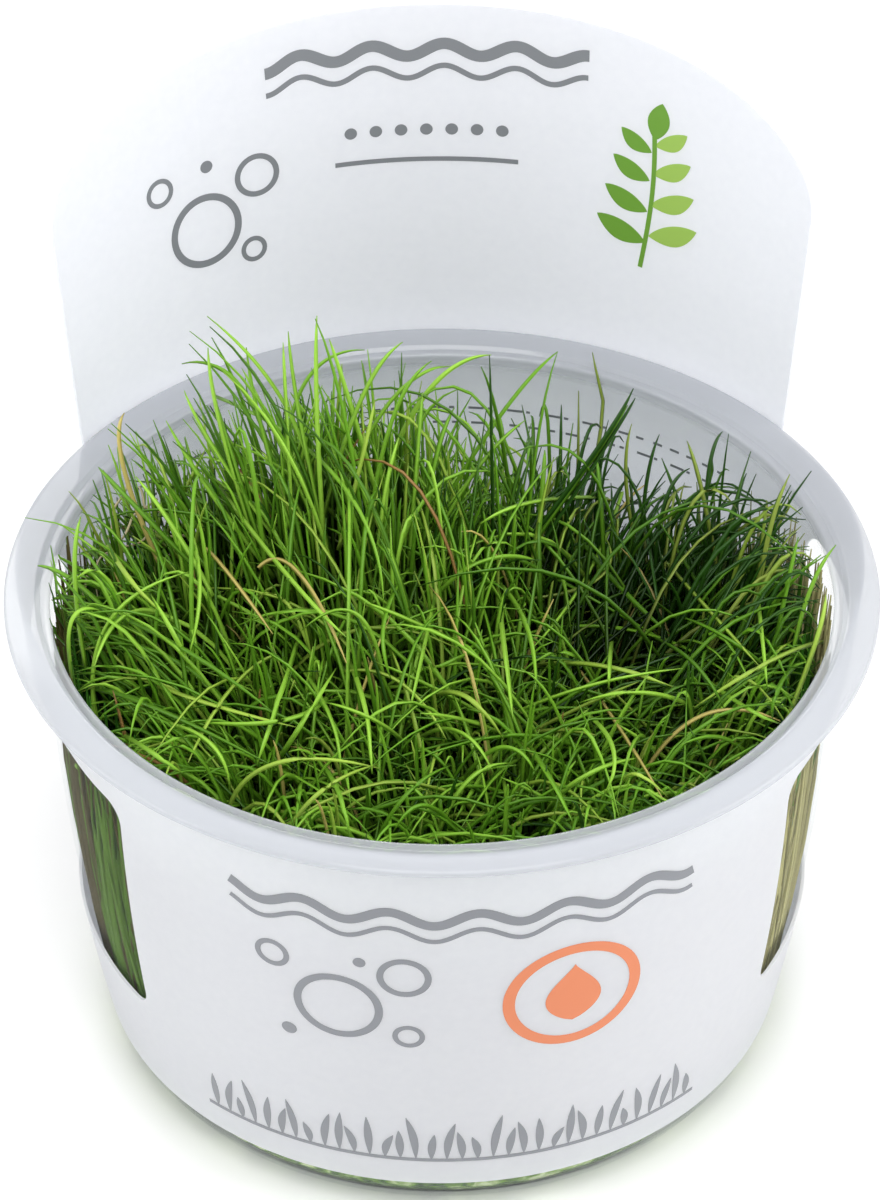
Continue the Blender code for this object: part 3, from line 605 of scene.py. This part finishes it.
# long blades that lie over the mat, the last few of them dry: low end, middle, tip
arches = [
    ((-7.4, -9.6, 57.7), (-10.6, -9.1, 65), (-16.3, -8.4, 61.8)), ((-17.4, 18.1, 69.9), (-9.4, 0.9, 71.7), (-6.9, -7.4, 64)),
    ((-21.3, 5, 65.1), (-15.9, -4.5, 63.9), (-11.3, -11.1, 62.9)), ((-37.5, -2.9, 60.1), (-28.1, -11.3, 60.4), (-19.2, -19.4, 58.3)),
    ((-24.5, -25.6, 51.4), (-18.7, -28.6, 59.4), (-7.9, -27.8, 57.4)), ((-17.7, -35, 55.8), (-13.8, -37.7, 63.4), (-8.1, -26.7, 57.1)),
    ((-8, -32.9, 52.1), (-4.5, -33.4, 59), (0.2, -25.3, 55.5)), ((-40.4, -8.9, 55.7), (-37.3, -5.8, 63.2), (-29.1, -2.4, 65.9)),
    ((-35.5, -6.5, 54), (-27.6, -15.1, 57), (-17.2, -20.4, 57.5)), ((-17.3, -6.9, 57.3), (-19.4, -20.3, 60.3), (-21.7, -25.8, 56.5)),
    ((-38.4, 6.7, 62.6), (-35.7, -4.4, 66.6), (-31.9, -6.2, 62.6)), ((-38.4, -11.3, 55.7), (-30.5, -19.7, 58.6), (-19.9, -27.7, 58.1)),
    ((-15.6, -9.6, 55.6), (-13, -24, 60.5), (-12.3, -28.4, 57.3)), ((-8.3, -10.5, 57.3), (-3.9, -14.5, 57.4), (-0.2, -19.6, 54.5)),
    ((-33.6, -3.3, 61.1), (-37.3, -6.4, 62.1), (-40, -12, 59.8)), ((-42.8, -8.9, 58.9), (-42, -8.8, 65), (-39.1, -5.5, 62.9)),
    ((-28.5, 3.6, 65.5), (-27.8, -5.4, 64.9), (-29.3, -9.9, 59.4)), ((-14, -22.1, 52.7), (-12.4, -38.7, 62.3), (-11.6, -40.8, 58.7)),
    ((-33.1, -13.6, 53.1), (-26.9, -26.6, 60.8), (-24.7, -27.9, 54.9)), ((-36.7, -15.1, 52.2), (-33.3, -27.4, 60.1), (-29.9, -27.7, 57.2)),
    ((-10.2, -11.8, 57.3), (-9.2, -23.6, 60.8), (-8.8, -28.9, 57.6)), ((-5.7, -2.8, 62.2), (-7.1, -11.4, 63), (-6.3, -13.3, 58.4)),
    ((-1.4, -2.5, 58.8), (-2.9, -11.7, 59.3), (-4.3, -16.8, 56.5)), ((-22.1, -10.1, 57.8), (-25.8, -16.4, 57.7), (-29.3, -26.9, 58.1)),
    ((-13.8, -11.6, 54), (-19.2, -23.6, 61.1), (-29.4, -15.7, 54.8)), ((-5.5, -16.6, 52.5), (-9.2, -23.2, 61.2), (-13.8, -18.7, 59.6)),
    ((-0.3, -31.5, 52.6), (-3.7, -36.1, 59), (-6.7, -37.7, 56.6)), ((-29.4, -8.2, 57.2), (-31, -9.2, 62.7), (-33.4, -4.9, 64.7)),
    ((-18.7, -19.4, 52.9), (-16.3, -21.9, 59.6), (-12.5, -12.6, 59.5)), ((0.3, -3.7, 56.6), (-5.2, -6.8, 62.4), (-8.8, -7.8, 65.1)),
    ((10.5, 3.4, 51.2), (23.8, 7.2, 47.8), (33.9, -16.4, 58.6)), ((13.4, 12.3, 52.5), (19.7, 11.8, 48.3), (26.7, 4.3, 48.6)),
    ((14, 11.7, 50.2), (19.7, 13.3, 51.9), (20.1, 15.6, 55.3)), ((19.3, 16.9, 50.7), (22.9, 9.6, 50.8), (27.3, 4.7, 49.1)),
    ((27.4, 22.9, 46.6), (31.1, 0.5, 56.3), (35.6, -13.9, 59.6)), ((25.4, 35.9, 45.5), (25.2, 12, 54.4), (25.9, 6.5, 49.2)),
    ((20.6, 23.1, 49.8), (16.1, 10, 51.4), (10.3, -6.2, 56.8)), ((8, -10.5, 50.6), (16.7, -15.2, 58.5), (26.9, -14.3, 59.8)),
    ((6.8, -1.2, 56.7), (6.9, -12.8, 59.1), (7.3, -20.5, 58.1)), ((29.5, 3.1, 45.5), (33.2, -19, 58.1), (37.5, -21.1, 57)),
    ((19.5, -21.6, 47.4), (19.8, -35.7, 62.5), (23.7, -35.3, 58.7)), ((-1.8, -13.3, 50.3), (1.8, -21.6, 56.9), (4.9, -25.9, 54.6)),
    ((9.6, -20.8, 53.3), (11.1, -33.2, 59.2), (12.9, -40.2, 59.7)), ((-1.6, -8.1, 51.4), (2.2, -19.2, 60.2), (6.2, -22, 56.3)),
    ((37.7, 11.3, 51.4), (36.2, -10.7, 61.2), (36.2, -18.1, 59.6)), ((43.1, -6, 56.4), (36.2, -16.8, 62.4), (27.8, -19.4, 58.2)),
    ((2.1, 2.4, 61), (6.7, 4.4, 61.8), (11.8, 10.7, 56)), ((19.6, 32.4, 48.7), (10.1, 11.4, 64.1), (4.4, 7.1, 64.3)),
    ((20.7, 11.7, 43.2), (18.7, -11.5, 58.5), (18.5, -14.2, 56.8)), ((27.1, -13.9, 54.4), (21.3, -18, 59.5), (15.2, -15.5, 56.1)),
    ((13.7, -4.8, 53.2), (19.2, -12.7, 58.7), (25.6, -16.2, 58.7)), ((37.3, -7, 53.5), (32.1, -8.8, 59.8), (28, 6.2, 51)),
    ((16.4, -11.9, 51.1), (17.9, -32.3, 62.8), (16.6, -36.4, 60.2)), ((3.3, -20.3, 51.5), (6.7, -25, 57.7), (9.5, -27.8, 56.2)),
    ((34, -18.9, 50.9), (30, -22.4, 56.4), (25.5, -25.9, 57.9)), ((0, -28.8, 52.6), (3, -27.7, 56.3), (6.7, -25.4, 55.7)),
    ((25.2, 9.3, 45.4), (28, -15.4, 61.4), (31.4, -18.5, 56.9)), ((8.1, 5.9, 54.9), (9.9, -6.6, 58.7), (10.1, -15.6, 58.3)),
    ((40.9, -7.1, 54.3), (37.2, -19.6, 60.7), (36.7, -20.3, 56.7)), ((11.4, -26.6, 50.4), (14.9, -34.8, 61.9), (21.5, -24.5, 55.3)),
    ((-26.1, 1.7, 64.7), (-23.4, -3.7, 64.6), (-19.6, -9.8, 62.5)), ((-18.9, 1.2, 64.7), (-15.3, -3.2, 64), (-11.3, -13, 60.6)),
    ((17.2, -5.4, 50), (20, -21.2, 55.6), (23.1, -35.5, 58.8)), ((23.1, -20, 50.7), (29.5, -20.3, 58.1), (37.5, -20.9, 57.2)),
]
dryArches = 4

thatch = {"wallCount": 3200, "innerCount": 1700, "steps": 4, "halfWidth": 0.42, "wallClear": 0.36}

# deep, mid and bright are the ends of the blades' tone ramp, which carries random tone together with painted light and
# shade
leafTones = {
    "deep": (0.022, 0.085, 0.006),
    "mid": (0.160, 0.390, 0.020),
    "bright": (0.360, 0.660, 0.065),
    "yellow": (0.500, 0.620, 0.100),
    "straw": (0.600, 0.500, 0.150),
    "rust": (0.340, 0.190, 0.060),
    "root": (0.640, 0.560, 0.340),
    # pale khaki: the painted milky reflection on the right of the tub
    "sheenKhaki": (0.450, 0.420, 0.190),
    "peat": (0.075, 0.063, 0.020),
    "moss": (0.095, 0.190, 0.022),
}


def lockGuides(node):
    # a lock of the solid ends in a point where three edges meet: three rings of three lie below it
    mesh = node.data
    places = np.empty(len(mesh.vertices) * 3, np.float32)
    mesh.vertices.foreach_get("co", places)
    places = places.reshape(-1, 3).astype(float) / mm
    keys, index = np.unique(np.round(places, 3), axis=0, return_inverse=True)
    index = index.ravel()
    near = [set() for _ in keys]
    for polygon in mesh.polygons:
        corners = {int(index[v]) for v in polygon.vertices}
        for v in corners:
            near[v] |= corners - {v}
    guides = []
    for tip in (v for v in range(len(keys)) if len(near[v]) == 3):
        seen, ring, rings = {tip}, near[tip], []
        while len(rings) < 4 and len(ring) == 3:
            rings.append(keys[list(ring)].mean(0))
            seen |= ring
            ring = set.intersection(*[set().union(*[near[v] for v in ring])]) - seen
        if len(rings) >= 3:
            guides.append((rings[2], rings[1], keys[tip]))
    return keys, guides


def bendFrom(low, middle, tip):
    # the lock's curve is (1-t)^2 root + 2t(1-t) bend + t^2 tip: root and bend from its places at 0.3 and 0.6
    rows = np.array([[0.49, 0.42], [0.16, 0.48]])
    right = np.stack([low - 0.09 * tip, middle - 0.36 * tip])
    return np.linalg.solve(rows, right)


def curve(roots, bends, tips, steps=grass["steps"]):
    # quadratic curves: (1-t)^2 root + 2t(1-t) bend + t^2 tip, one row of points a blade
    share = np.linspace(0.0, 1.0, steps + 1)[None, :, None]
    return (1 - share) ** 2 * roots[:, None] + 2 * share * (1 - share) * bends[:, None] + share**2 * tips[:, None]


def lockBlades(guides, centre, rng):
    # every lock of the solid gives a leader that reaches its tip, a tight bundle along it, and a few strays
    paths = []
    for low, middle, tip in guides:
        root, bend = bendFrom(low, middle, tip)
        root = np.array([root[0], root[1], min(root[2], centre[2] + 1.0)])
        paths.append(curve(root[None], bend[None], tip[None]))
        crowd = grass["crowdBehind"] if tip[1] > grass["frontEdge"] and tip[0] < 6.0 else grass["crowdInFront"]
        for kind, count in zip((grass["bundle"], grass["stray"]), crowd):
            reach = rng.uniform(kind["shortest"], 1.0, (count, 1))
            flat = [1.0, 1.0, 0.4]
            roots = root + rng.normal(0.0, kind["root"], (count, 3)) * [1.0, 1.0, 0.2]
            bends = root + (bend - root) * reach + rng.normal(0.0, kind["bend"], (count, 3)) * flat
            tips = root + (tip - root) * reach + rng.normal(0.0, kind["tip"], (count, 3)) * flat
            paths.append(curve(roots, bends, tips))
    return np.concatenate(paths)


def canopyAt(places, tips):
    # height of the grass over a place: the solid's lock tips near it, weighed by 1 / (4 + distance^2)
    apart = ((places[:, None] - tips[None, :, :2]) ** 2).sum(2)
    weight = 1.0 / (4.0 + apart) ** 2
    return (weight * tips[None, :, 2]).sum(1) / weight.sum(1)


def wandBlades(tips, rng):
    # long loose blades: they start anywhere on the bed, rise, and lean out in a fan or across their neighbours
    w = wands
    count = w["count"]
    turn, away = rng.uniform(0.0, 2.0 * np.pi, count), w["bed"] * np.sqrt(rng.random(count))
    roots = np.stack([away * np.cos(turn), away * np.sin(turn), np.full(count, 10.0)], -1)
    fan = roots[:, :2] - np.array(w["fanCentre"])
    heading = np.arctan2(fan[:, 1], fan[:, 0]) + rng.normal(0.0, 0.45, count)
    heading = np.where(rng.random(count) < w["fanShare"], heading, rng.uniform(0.0, 2.0 * np.pi, count))
    lean = w["lean"][0] + (w["lean"][1] - w["lean"][0]) * rng.random(count) ** np.where(roots[:, 1] < 6.0, 0.7, 1.25)
    # the first of them stand close together and spread like a fountain
    inFountain = np.arange(count) < w["fountain"]
    spout = np.array(w["fountainFoot"]) + rng.normal(0.0, w["fountainSpread"], (count, 2))
    roots[:, :2] = np.where(inFountain[:, None], spout, roots[:, :2])
    heading = np.where(inFountain, rng.uniform(0.0, 2.0 * np.pi, count), heading)
    ends = roots[:, :2] + lean[:, None] * np.stack([np.cos(heading), np.sin(heading)], -1)
    ends *= np.minimum(1.0, 43.5 / np.hypot(ends[:, 0], ends[:, 1]))[:, None]
    # most behind bend near their middle and go on rising; those in front and on the right arch over and droop
    arched = (rng.random(count) < w["archShare"]) & ((roots[:, 1] < 6.0) | (roots[:, 0] > 10.0)) & ~inFountain
    roof = canopyAt(ends, tips)
    height = np.where(arched, 10.0 + (roof - 10.0) * rng.uniform(0.76, 0.98, count),
                      roof + rng.uniform(-11.0, 5.0, count) - 0.2 * lean)
    rise = np.where(arched, rng.uniform(1.0, 1.38, count), rng.uniform(0.45, 0.85, count))
    bends = np.empty((count, 3))
    bends[:, :2] = roots[:, :2] + (ends - roots[:, :2]) * rng.uniform(0.1, 0.4, count)[:, None]
    bends[:, :2] += rng.normal(0.0, 1.5, (count, 2))
    bends[:, 2] = 10.0 + (height - 10.0) * rise
    return curve(roots, bends, np.concatenate([ends, height[:, None]], 1))


def chosenBlades(rows, sunk):
    # each passes through its three places; its low end is carried on down into the mat by the share sunk
    low, middle, tip = (np.array(rows, float)[:, k] for k in range(3))
    bend = 2.0 * middle - (low + tip) / 2
    share = np.linspace(-sunk, 1.0, grass["chosenSteps"] + 1)[None, :, None]
    return (1 - share) ** 2 * low[:, None] + 2 * share * (1 - share) * bend[:, None] + share**2 * tip[:, None]


def starBlades(rng):
    # blades that spread from a crown in all directions, and the stems that carry it
    paths = []
    for crown, count, reach in stars:
        crown = np.array(crown)
        heading = 2.0 * np.pi * (np.arange(count) + rng.uniform(-0.4, 0.4, count)) / count
        climb = np.radians(rng.uniform(-4.0, 52.0, count))
        length = reach * rng.uniform(0.6, 1.15, count)
        out = np.stack([np.cos(heading) * np.cos(climb), np.sin(heading) * np.cos(climb), np.sin(climb)], -1)
        out *= length[:, None]
        sag = np.stack([0.0 * length, 0.0 * length, length * rng.uniform(0.02, 0.16, count)], -1)
        paths.append(curve(crown + rng.normal(0.0, 0.5, (count, 3)), crown + 0.5 * out + sag, crown + out))
        feet = np.stack([crown[0] * 0.8 + rng.normal(0.0, 2.5, 6), crown[1] * 0.8 + rng.normal(0.0, 2.5, 6), np.full(6, 10.0)], -1)
        paths.append(curve(feet, (feet + crown) / 2 + rng.normal(0.0, 1.5, (6, 3)), np.tile(crown, (6, 1))))
    return np.concatenate(paths)


def thatchBlades(tips, rng):
    # old leaves and roots that fill the tub: a ring behind the wall and a loose stand inside it
    t = thatch
    count = t["wallCount"] + t["innerCount"]
    byWall = np.arange(count) < t["wallCount"]
    turn = rng.uniform(0.0, 2.0 * np.pi, count)
    low = np.where(byWall, rng.uniform(9.8, 13.0, count), 10.0)
    inward = rng.exponential(0.7, count)
    out = np.where(byWall, wallRadius(low) - 0.75 - inward, 38.0 * np.sqrt(rng.random(count)))
    roots = np.stack([out * np.cos(turn), out * np.sin(turn), low], -1)
    drift = rng.normal(0.0, np.where(byWall, 0.09, 0.05))
    beside, behind = np.abs(np.cos(turn)), smoothStep((np.sin(turn) - 0.2) / 0.5)
    top = np.where(byWall, 38.0 + 16.0 * beside**2 - 5.0 * behind + rng.normal(0.0, 3.0, count), 0.0)
    reach = np.where(byWall, wallRadius(top) - 0.75 - 1.4 * inward, out + rng.normal(0.0, 4.0, count))
    ends = np.stack([reach * np.cos(turn + drift), reach * np.sin(turn + drift), top], -1)
    under = canopyAt(ends[:, :2], tips) * rng.uniform(0.45, 0.78, count)
    ends[:, 2] = np.where(byWall, ends[:, 2], under)
    bends = (roots + ends) / 2
    bends[:, :2] *= 1.02
    bends += rng.normal(0.0, 1.0, (count, 3)) * np.where(byWall, 0.5, 1.3)[:, None]
    tones = {name: np.array(colour) for name, colour in leafTones.items()}
    rightSheen = smoothStep((np.cos(turn) + 0.3) / 0.6)[:, None]
    streak = rng.random((count, 1))
    # on the left peat brown behind and mossy in front; on the right a pale khaki that is a painted milky reflection
    forward = smoothStep(-0.3 - 2.2 * np.sin(turn))[:, None]
    wallTone = np.where(streak < 0.8 - 0.65 * forward, tones["peat"], tones["moss"])
    wallTone = wallTone * (1 - rightSheen) + (tones["sheenKhaki"] * (0.5 + 0.6 * streak)) * rightSheen
    # behind, and on the side away from the wall, they are dark green
    green = np.maximum(behind, smoothStep((inward - 0.7) / 0.6))[:, None]
    wallTone = wallTone * (1 - green) + tones["deep"] * (0.6 + 1.2 * streak) * green
    innerTone = tones["deep"] * 0.6 + tones["moss"] * 0.35 * streak
    colour = np.where(byWall[:, None], wallTone, innerTone)
    return curve(roots, bends, ends, t["steps"]), colour


# curly runners that lie on the mat by the left wall, each through a few places
runners = [
    [(-29.8, 14.6, 57.5), (-31.8, 14.3, 58.6), (-33.7, 13.6, 59.6), (-35.4, 11.4, 59.4), (-37.2, 11.0, 59.0),
     (-39.6, 11.2, 58.2), (-40.4, 8.6, 56.4), (-40.2, 5.8, 54.0)],
    [(-33.0, 18.2, 60.4), (-34.7, 16.8, 60.9), (-36.0, 14.9, 60.0), (-37.6, 12.2, 59.2), (-38.9, 11.9, 58.0)],
    [(-36.4, 21.6, 61.0), (-37.2, 18.6, 61.2), (-38.2, 15.8, 60.2), (-38.9, 12.8, 59.0), (-38.2, 10.4, 57.6)],
    [(-35.2, 20.4, 60.6), (-34.6, 17.2, 60.9), (-32.8, 16.4, 60.0), (-31.0, 17.3, 58.4)],
    [(-41.2, 9.0, 57.0), (-42.2, 7.4, 54.6), (-42.0, 4.8, 51.8), (-40.8, 2.6, 48.6)],
]


def runnerPaths():
    # cosine-eased steps between the knots, smoothed twice, sampled to one count
    paths = []
    for knots in runners:
        knots = np.array(knots)
        at = np.linspace(0.0, len(knots) - 1.0, 41)
        path = np.stack([np.interp(at, np.arange(len(knots)), knots[:, k]) for k in range(3)], -1)
        for _ in range(6):
            path[1:-1] = (path[:-2] + 2.0 * path[1:-1] + path[2:]) / 4.0
        curl = 0.2 * np.stack([np.sin(at * 3.1), np.cos(at * 2.7), np.sin(at * 3.7 + 1.0)], -1)
        paths.append(path + curl)
    return np.stack(paths)


def keepInTub(paths, clear=grass["wallClear"]):
    # a blade that would cross the wall lies along it, and above the rim it may lean out a little
    g = grass
    paths[..., 2] = np.clip(paths[..., 2], gelSize["top"] + 0.8, g["highest"])
    away = np.hypot(paths[..., 0], paths[..., 1])
    above = np.maximum(paths[..., 2] - tubSize["rimHeight"], 0.0)
    room = wallRadius(paths[..., 2]) - tubSize["thinWall"] - clear + np.minimum(above * 0.6, 4.5)
    paths[..., :2] *= np.minimum(1.0, room / np.maximum(away, 1e-6))[..., None]
    return paths


def bladeMesh(paths, halfWidths, twist):
    # a three-sided tube round each path with a blunt tip: radius = half width x (1 - t^7)^0.8
    blades, stations = paths.shape[:2]
    share = np.linspace(0.0, 1.0, stations)
    along = np.gradient(paths, axis=1)
    along /= np.maximum(np.linalg.norm(along, axis=2, keepdims=True), 1e-9)
    level = np.stack([np.cos(twist), np.sin(twist), 0.0 * twist], -1)[:, None]
    side = np.cross(along, level)
    side /= np.maximum(np.linalg.norm(side, axis=2, keepdims=True), 1e-6)
    other = np.cross(side, along)
    thin = np.maximum((1.0 - share**7) ** 0.8, 0.22)[None, :] * halfWidths[:, None]
    corner = np.radians([90.0, 210.0, 330.0])
    ring = side[:, :, None] * np.cos(corner)[:, None] + other[:, :, None] * np.sin(corner)[:, None]
    verts = paths[:, :, None] + ring * thin[:, :, None, None]
    i = np.arange(blades)[:, None, None] * stations * 3
    s = np.arange(stations - 1)[None, :, None] * 3
    c = np.arange(3)[None, None, :]
    d = (c + 1) % 3
    quads = np.stack([i + s + c, i + s + d, i + s + 3 + d, i + s + 3 + c], -1).reshape(-1, 4)
    start = np.arange(blades)[:, None] * stations * 3
    base = start + np.array([[2, 1, 0]])
    end = start + (stations - 1) * 3 + np.array([[0, 1, 2]])
    return verts.reshape(-1, 3), [quads, np.concatenate([base, end])]


def leafMaterial(name, roughness, specular, through):
    # thread-like leaves: the colour comes from each blade's own tone, with light passing through
    material, nodes, links, shader = newMaterial(name, (0.08, 0.25, 0.01), roughness, Specular_IOR_Level=specular)
    tone = nodes.new("ShaderNodeAttribute")
    tone.attribute_name = "tone"
    links.new(tone.outputs["Color"], shader.inputs["Base Color"])
    glow = nodes.new("ShaderNodeBsdfTranslucent")
    links.new(tone.outputs["Color"], glow.inputs["Color"])
    links.new(blend(nodes, links, shader, glow, through).outputs[0], nodes["Material Output"].inputs["Surface"])
    return material


# middle, size and top of the hollow that is given painted shade
shadedHollow = {"x": 22.0, "y": 3.0, "acrossX": 11.0, "acrossY": 14.0, "top": 60.0}


def roofMap(tips):
    # height of the grass over a grid of whole millimetres
    line = np.arange(-47.0, 48.0)
    x, y = np.meshgrid(line, line, indexing="ij")
    return canopyAt(np.stack([x.ravel(), y.ravel()], -1), tips).reshape(x.shape)


def bladeTones(paths, lift, roof, rng, hollowShade=0.0):
    # tone of each blade: random tone with painted light and shade, painted shadow at the back right and on the right,
    # a painted lift where it stands free, a few yellow or dry
    blades, stations = paths.shape[:2]
    tones = {name: np.array(colour) for name, colour in leafTones.items()}
    tipX, tipY = paths[:, -1, 0], paths[:, -1, 1]
    # painted shadow: darker at the back right, and a little darker all along the right
    shadow = smoothStep((tipX - 2.0) / 26.0) * smoothStep((tipY + 10.0) / 24.0)
    # light is random tone plus lift, a painted light that is highest for blades standing free, less the painted shadow
    light = rng.normal(0.5, 0.24, blades) + lift - 0.6 * shadow - 0.12 * smoothStep(tipX / 20.0)
    light = np.clip(light, 0.0, 1.0)[:, None]
    body = np.where(light < 0.5, tones["deep"] + (tones["mid"] - tones["deep"]) * light * 2.0,
                    tones["mid"] + (tones["bright"] - tones["mid"]) * (light - 0.5) * 2.0)
    lot = rng.random((blades, 1))
    body = np.where(lot < 0.10, body * 0.5 + tones["yellow"] * 0.5, body)
    body = np.where(lot > 0.987, np.where(rng.random((blades, 1)) < 0.6, tones["straw"], tones["rust"]), body)
    # painted shade deep in the mat: share of light = 0.1 + 0.9 x smooth step of the depth under the roof
    spot = np.clip(np.rint(paths[..., :2] + 47.0), 0, len(roof) - 1).astype(int)
    under = roof[spot[..., 0], spot[..., 1]] - paths[..., 2]
    depth = 0.1 + 0.9 * smoothStep((24.0 - under) / 20.0)
    # painted shade in the hollow, darker still: its strength x exp(-(distance from its middle)^2) where a blade is low
    p = shadedHollow
    round2 = ((paths[..., 0] - p["x"]) / p["acrossX"]) ** 2 + ((paths[..., 1] - p["y"]) / p["acrossY"]) ** 2
    depth = depth * (1.0 - hollowShade * np.exp(-round2) * smoothStep((p["top"] - paths[..., 2]) / 8.0))
    # a blade is palest past its middle, and its very tip is dull
    share = np.linspace(0.0, 1.0, stations)[None, :, None]
    return body[:, None] * depth[..., None] * (0.8 + 0.4 * share) * (1.0 - 0.4 * smoothStep((share - 0.9) / 0.1))


def tuftMesh(parts):
    # joins blades of different kinds into one mesh; a part is paths, half widths, tones and its material's number
    verts, faces, tones, kinds, count = [], [], [], [], 0
    for paths, halfWidths, colours, kind in parts:
        points, quadsAndEnds = bladeMesh(paths, halfWidths, rng.uniform(0.0, np.pi, len(paths)))
        verts.append(points)
        faces += [face + count for face in quadsAndEnds]
        kinds += [np.full(len(face), kind) for face in quadsAndEnds]
        tones.append(np.repeat(np.broadcast_to(colours, paths.shape)[:, :, None], 3, 2).reshape(-1, 3))
        count += len(points)
    return np.concatenate(verts), faces, np.concatenate(tones), np.concatenate(kinds)


def byNearest(paths, centres):
    # the plantlet whose crown stands nearest to a blade's foot has the blade
    return ((paths[:, None, 0, :2] - centres[None, :, :2]) ** 2).sum(2).argmin(1)


leaf = leafMaterial("hairgrassLeaf", 0.4, 0.38, 0.22)
matted = leafMaterial("mattedLeaf", 0.8, 0.1, 0.1)
rng = np.random.default_rng(grass["seed"])
plantletNodes = sorted(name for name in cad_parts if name.startswith("plantlet"))
guidesOf, centres = {}, []
for nodeName in plantletNodes:
    points, guidesOf[nodeName] = lockGuides(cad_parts[nodeName])
    centres.append(points[points[:, 2] < 13.4].mean(0))
centres = np.array(centres)
lockTips = np.array([guide[2] for guides in guidesOf.values() for guide in guides])
roof = roofMap(lockTips)
loose = keepInTub(np.concatenate([wandBlades(lockTips, rng), starBlades(rng)]))
# loose blades: a small painted lift, and strong painted shade in the hollow
looseTones = bladeTones(loose, 0.06, roof, rng, 0.75)
free = keepInTub(np.concatenate([chosenBlades(spires, 0.45), chosenBlades(arches, 0.35)]))
# blades that stand free get the strongest painted light
freeTones = bladeTones(free, 0.25, roof, rng)
freeTones[-dryArches:] = np.array(leafTones["straw"])
old, oldTones = thatchBlades(lockTips, rng)
old = keepInTub(old, thatch["wallClear"])
threads = runnerPaths()
looseOwner, freeOwner = byNearest(loose, centres), byNearest(free, centres)
oldOwner, threadOwner = byNearest(old, centres), byNearest(threads, centres)
bladeCount = 0
for number, nodeName in enumerate(plantletNodes):
    own = keepInTub(lockBlades(guidesOf[nodeName], centres[number], rng))
    # the locks' own blades: a lift below zero that is painted shade, and painted shade in the hollow
    parts = [(own, grass["halfWidth"] * rng.uniform(0.78, 1.15, len(own)), bladeTones(own, -0.06, roof, rng, 0.85), 0)]
    mine = looseOwner == number
    parts.append((loose[mine], grass["halfWidth"] * rng.uniform(0.8, 1.15, mine.sum()), looseTones[mine], 0))
    mine = freeOwner == number
    parts.append((free[mine], grass["halfWidth"] * rng.uniform(0.95, 1.25, mine.sum()), freeTones[mine], 0))
    mine = oldOwner == number
    parts.append((old[mine], thatch["halfWidth"] * rng.uniform(0.6, 1.2, mine.sum()), oldTones[mine][:, None], 1))
    mine = threadOwner == number
    parts.append((threads[mine], np.full(mine.sum(), 0.17), np.array(leafTones["root"]), 0))
    verts, faces, tones, kinds = tuftMesh([part for part in parts if len(part[0])])
    tuft = meshObject(nodeName.replace("plantlet", "tuft"), verts, faces)
    tone = tuft.data.color_attributes.new("tone", "FLOAT_COLOR", "POINT")
    tone.data.foreach_set("color", np.concatenate([tones, np.ones((len(tones), 1))], 1).astype(np.float32).ravel())
    putOn(tuft, "grass", leaf, nodeName)
    tuft.data.materials.append(matted)
    tuft.data.polygons.foreach_set("material_index", kinds.astype(np.int32))
    bladeCount += sum(len(part[0]) for part in parts)
print("grass done:", bladeCount, "blades")


# floor, light and camera

studio = {
    "floorSize": 3.0, "floorColour": (0.94, 0.94, 0.94),
    "sky": (1.0, 1.0, 1.0), "skyStrength": 0.47,
    "left": {"place": (-0.85, -0.1, 0.42), "size": (0.6, 0.7), "power": 3.9},
    "right": {"place": (0.85, -0.1, 0.42), "size": (0.6, 0.7), "power": 5.0},
    "above": {"place": (0.0, -0.24, 0.92), "size": (0.5, 0.4), "power": 3.2},
    "front": {"place": (0.05, -0.68, 0.78), "size": (0.7, 0.5), "power": 3.4},
    "behind": {"place": (-0.25, 1.0, 0.735), "size": (0.7, 0.29), "power": 3.1},
}


def areaLight(name, place, size, power, aim=(0.0, 0.0, 0.06)):
    lamp = bpy.data.lights.new(name, "AREA")
    lamp.shape = "RECTANGLE"
    lamp.size, lamp.size_y = size
    lamp.energy = power
    holder = bpy.data.objects.new(name, lamp)
    holder.location = place
    holder.rotation_euler = (Vector(aim) - Vector(place)).to_track_quat("-Z", "Y").to_euler()
    scene.collection.objects.link(holder)


half = studio["floorSize"] / 2 / mm
floorVerts = np.array([[-half, -half, -0.05], [half, -half, -0.05], [half, half, -0.05], [-half, half, -0.05]])
floor = meshObject("floor", floorVerts, [np.array([[0, 1, 2, 3]])])
floorMaterial = newMaterial("paleFloor", studio["floorColour"], 0.6)[0]
floor.data.materials.append(floorMaterial)

world = bpy.data.worlds.new("studio")
world.use_nodes = True
world.node_tree.nodes["Background"].inputs["Color"].default_value = (*studio["sky"], 1.0)
world.node_tree.nodes["Background"].inputs["Strength"].default_value = studio["skyStrength"]
scene.world = world
for lampName in ("left", "right", "above", "front", "behind"):
    areaLight(lampName, **studio[lampName])

view = {"azimuth": -2.0, "elevation": 38.55, "distance": 0.600, "target": (0.0, 0.0, 0.05909), "lens": 155.6}
azimuth, elevation = math.radians(view["azimuth"]), math.radians(view["elevation"])
back = Vector((math.sin(azimuth) * math.cos(elevation), -math.cos(azimuth) * math.cos(elevation), math.sin(elevation)))
camera = bpy.data.objects.new("camera", bpy.data.cameras.new("camera"))
camera.data.sensor_width = 36.0
camera.data.lens = view["lens"]
camera.data.clip_start, camera.data.clip_end = 0.01, 10.0
camera.location = Vector(view["target"]) + back * view["distance"]
camera.rotation_euler = (-back).to_track_quat("-Z", "Y").to_euler()
scene.collection.objects.link(camera)
scene.camera = camera
print("studio done")
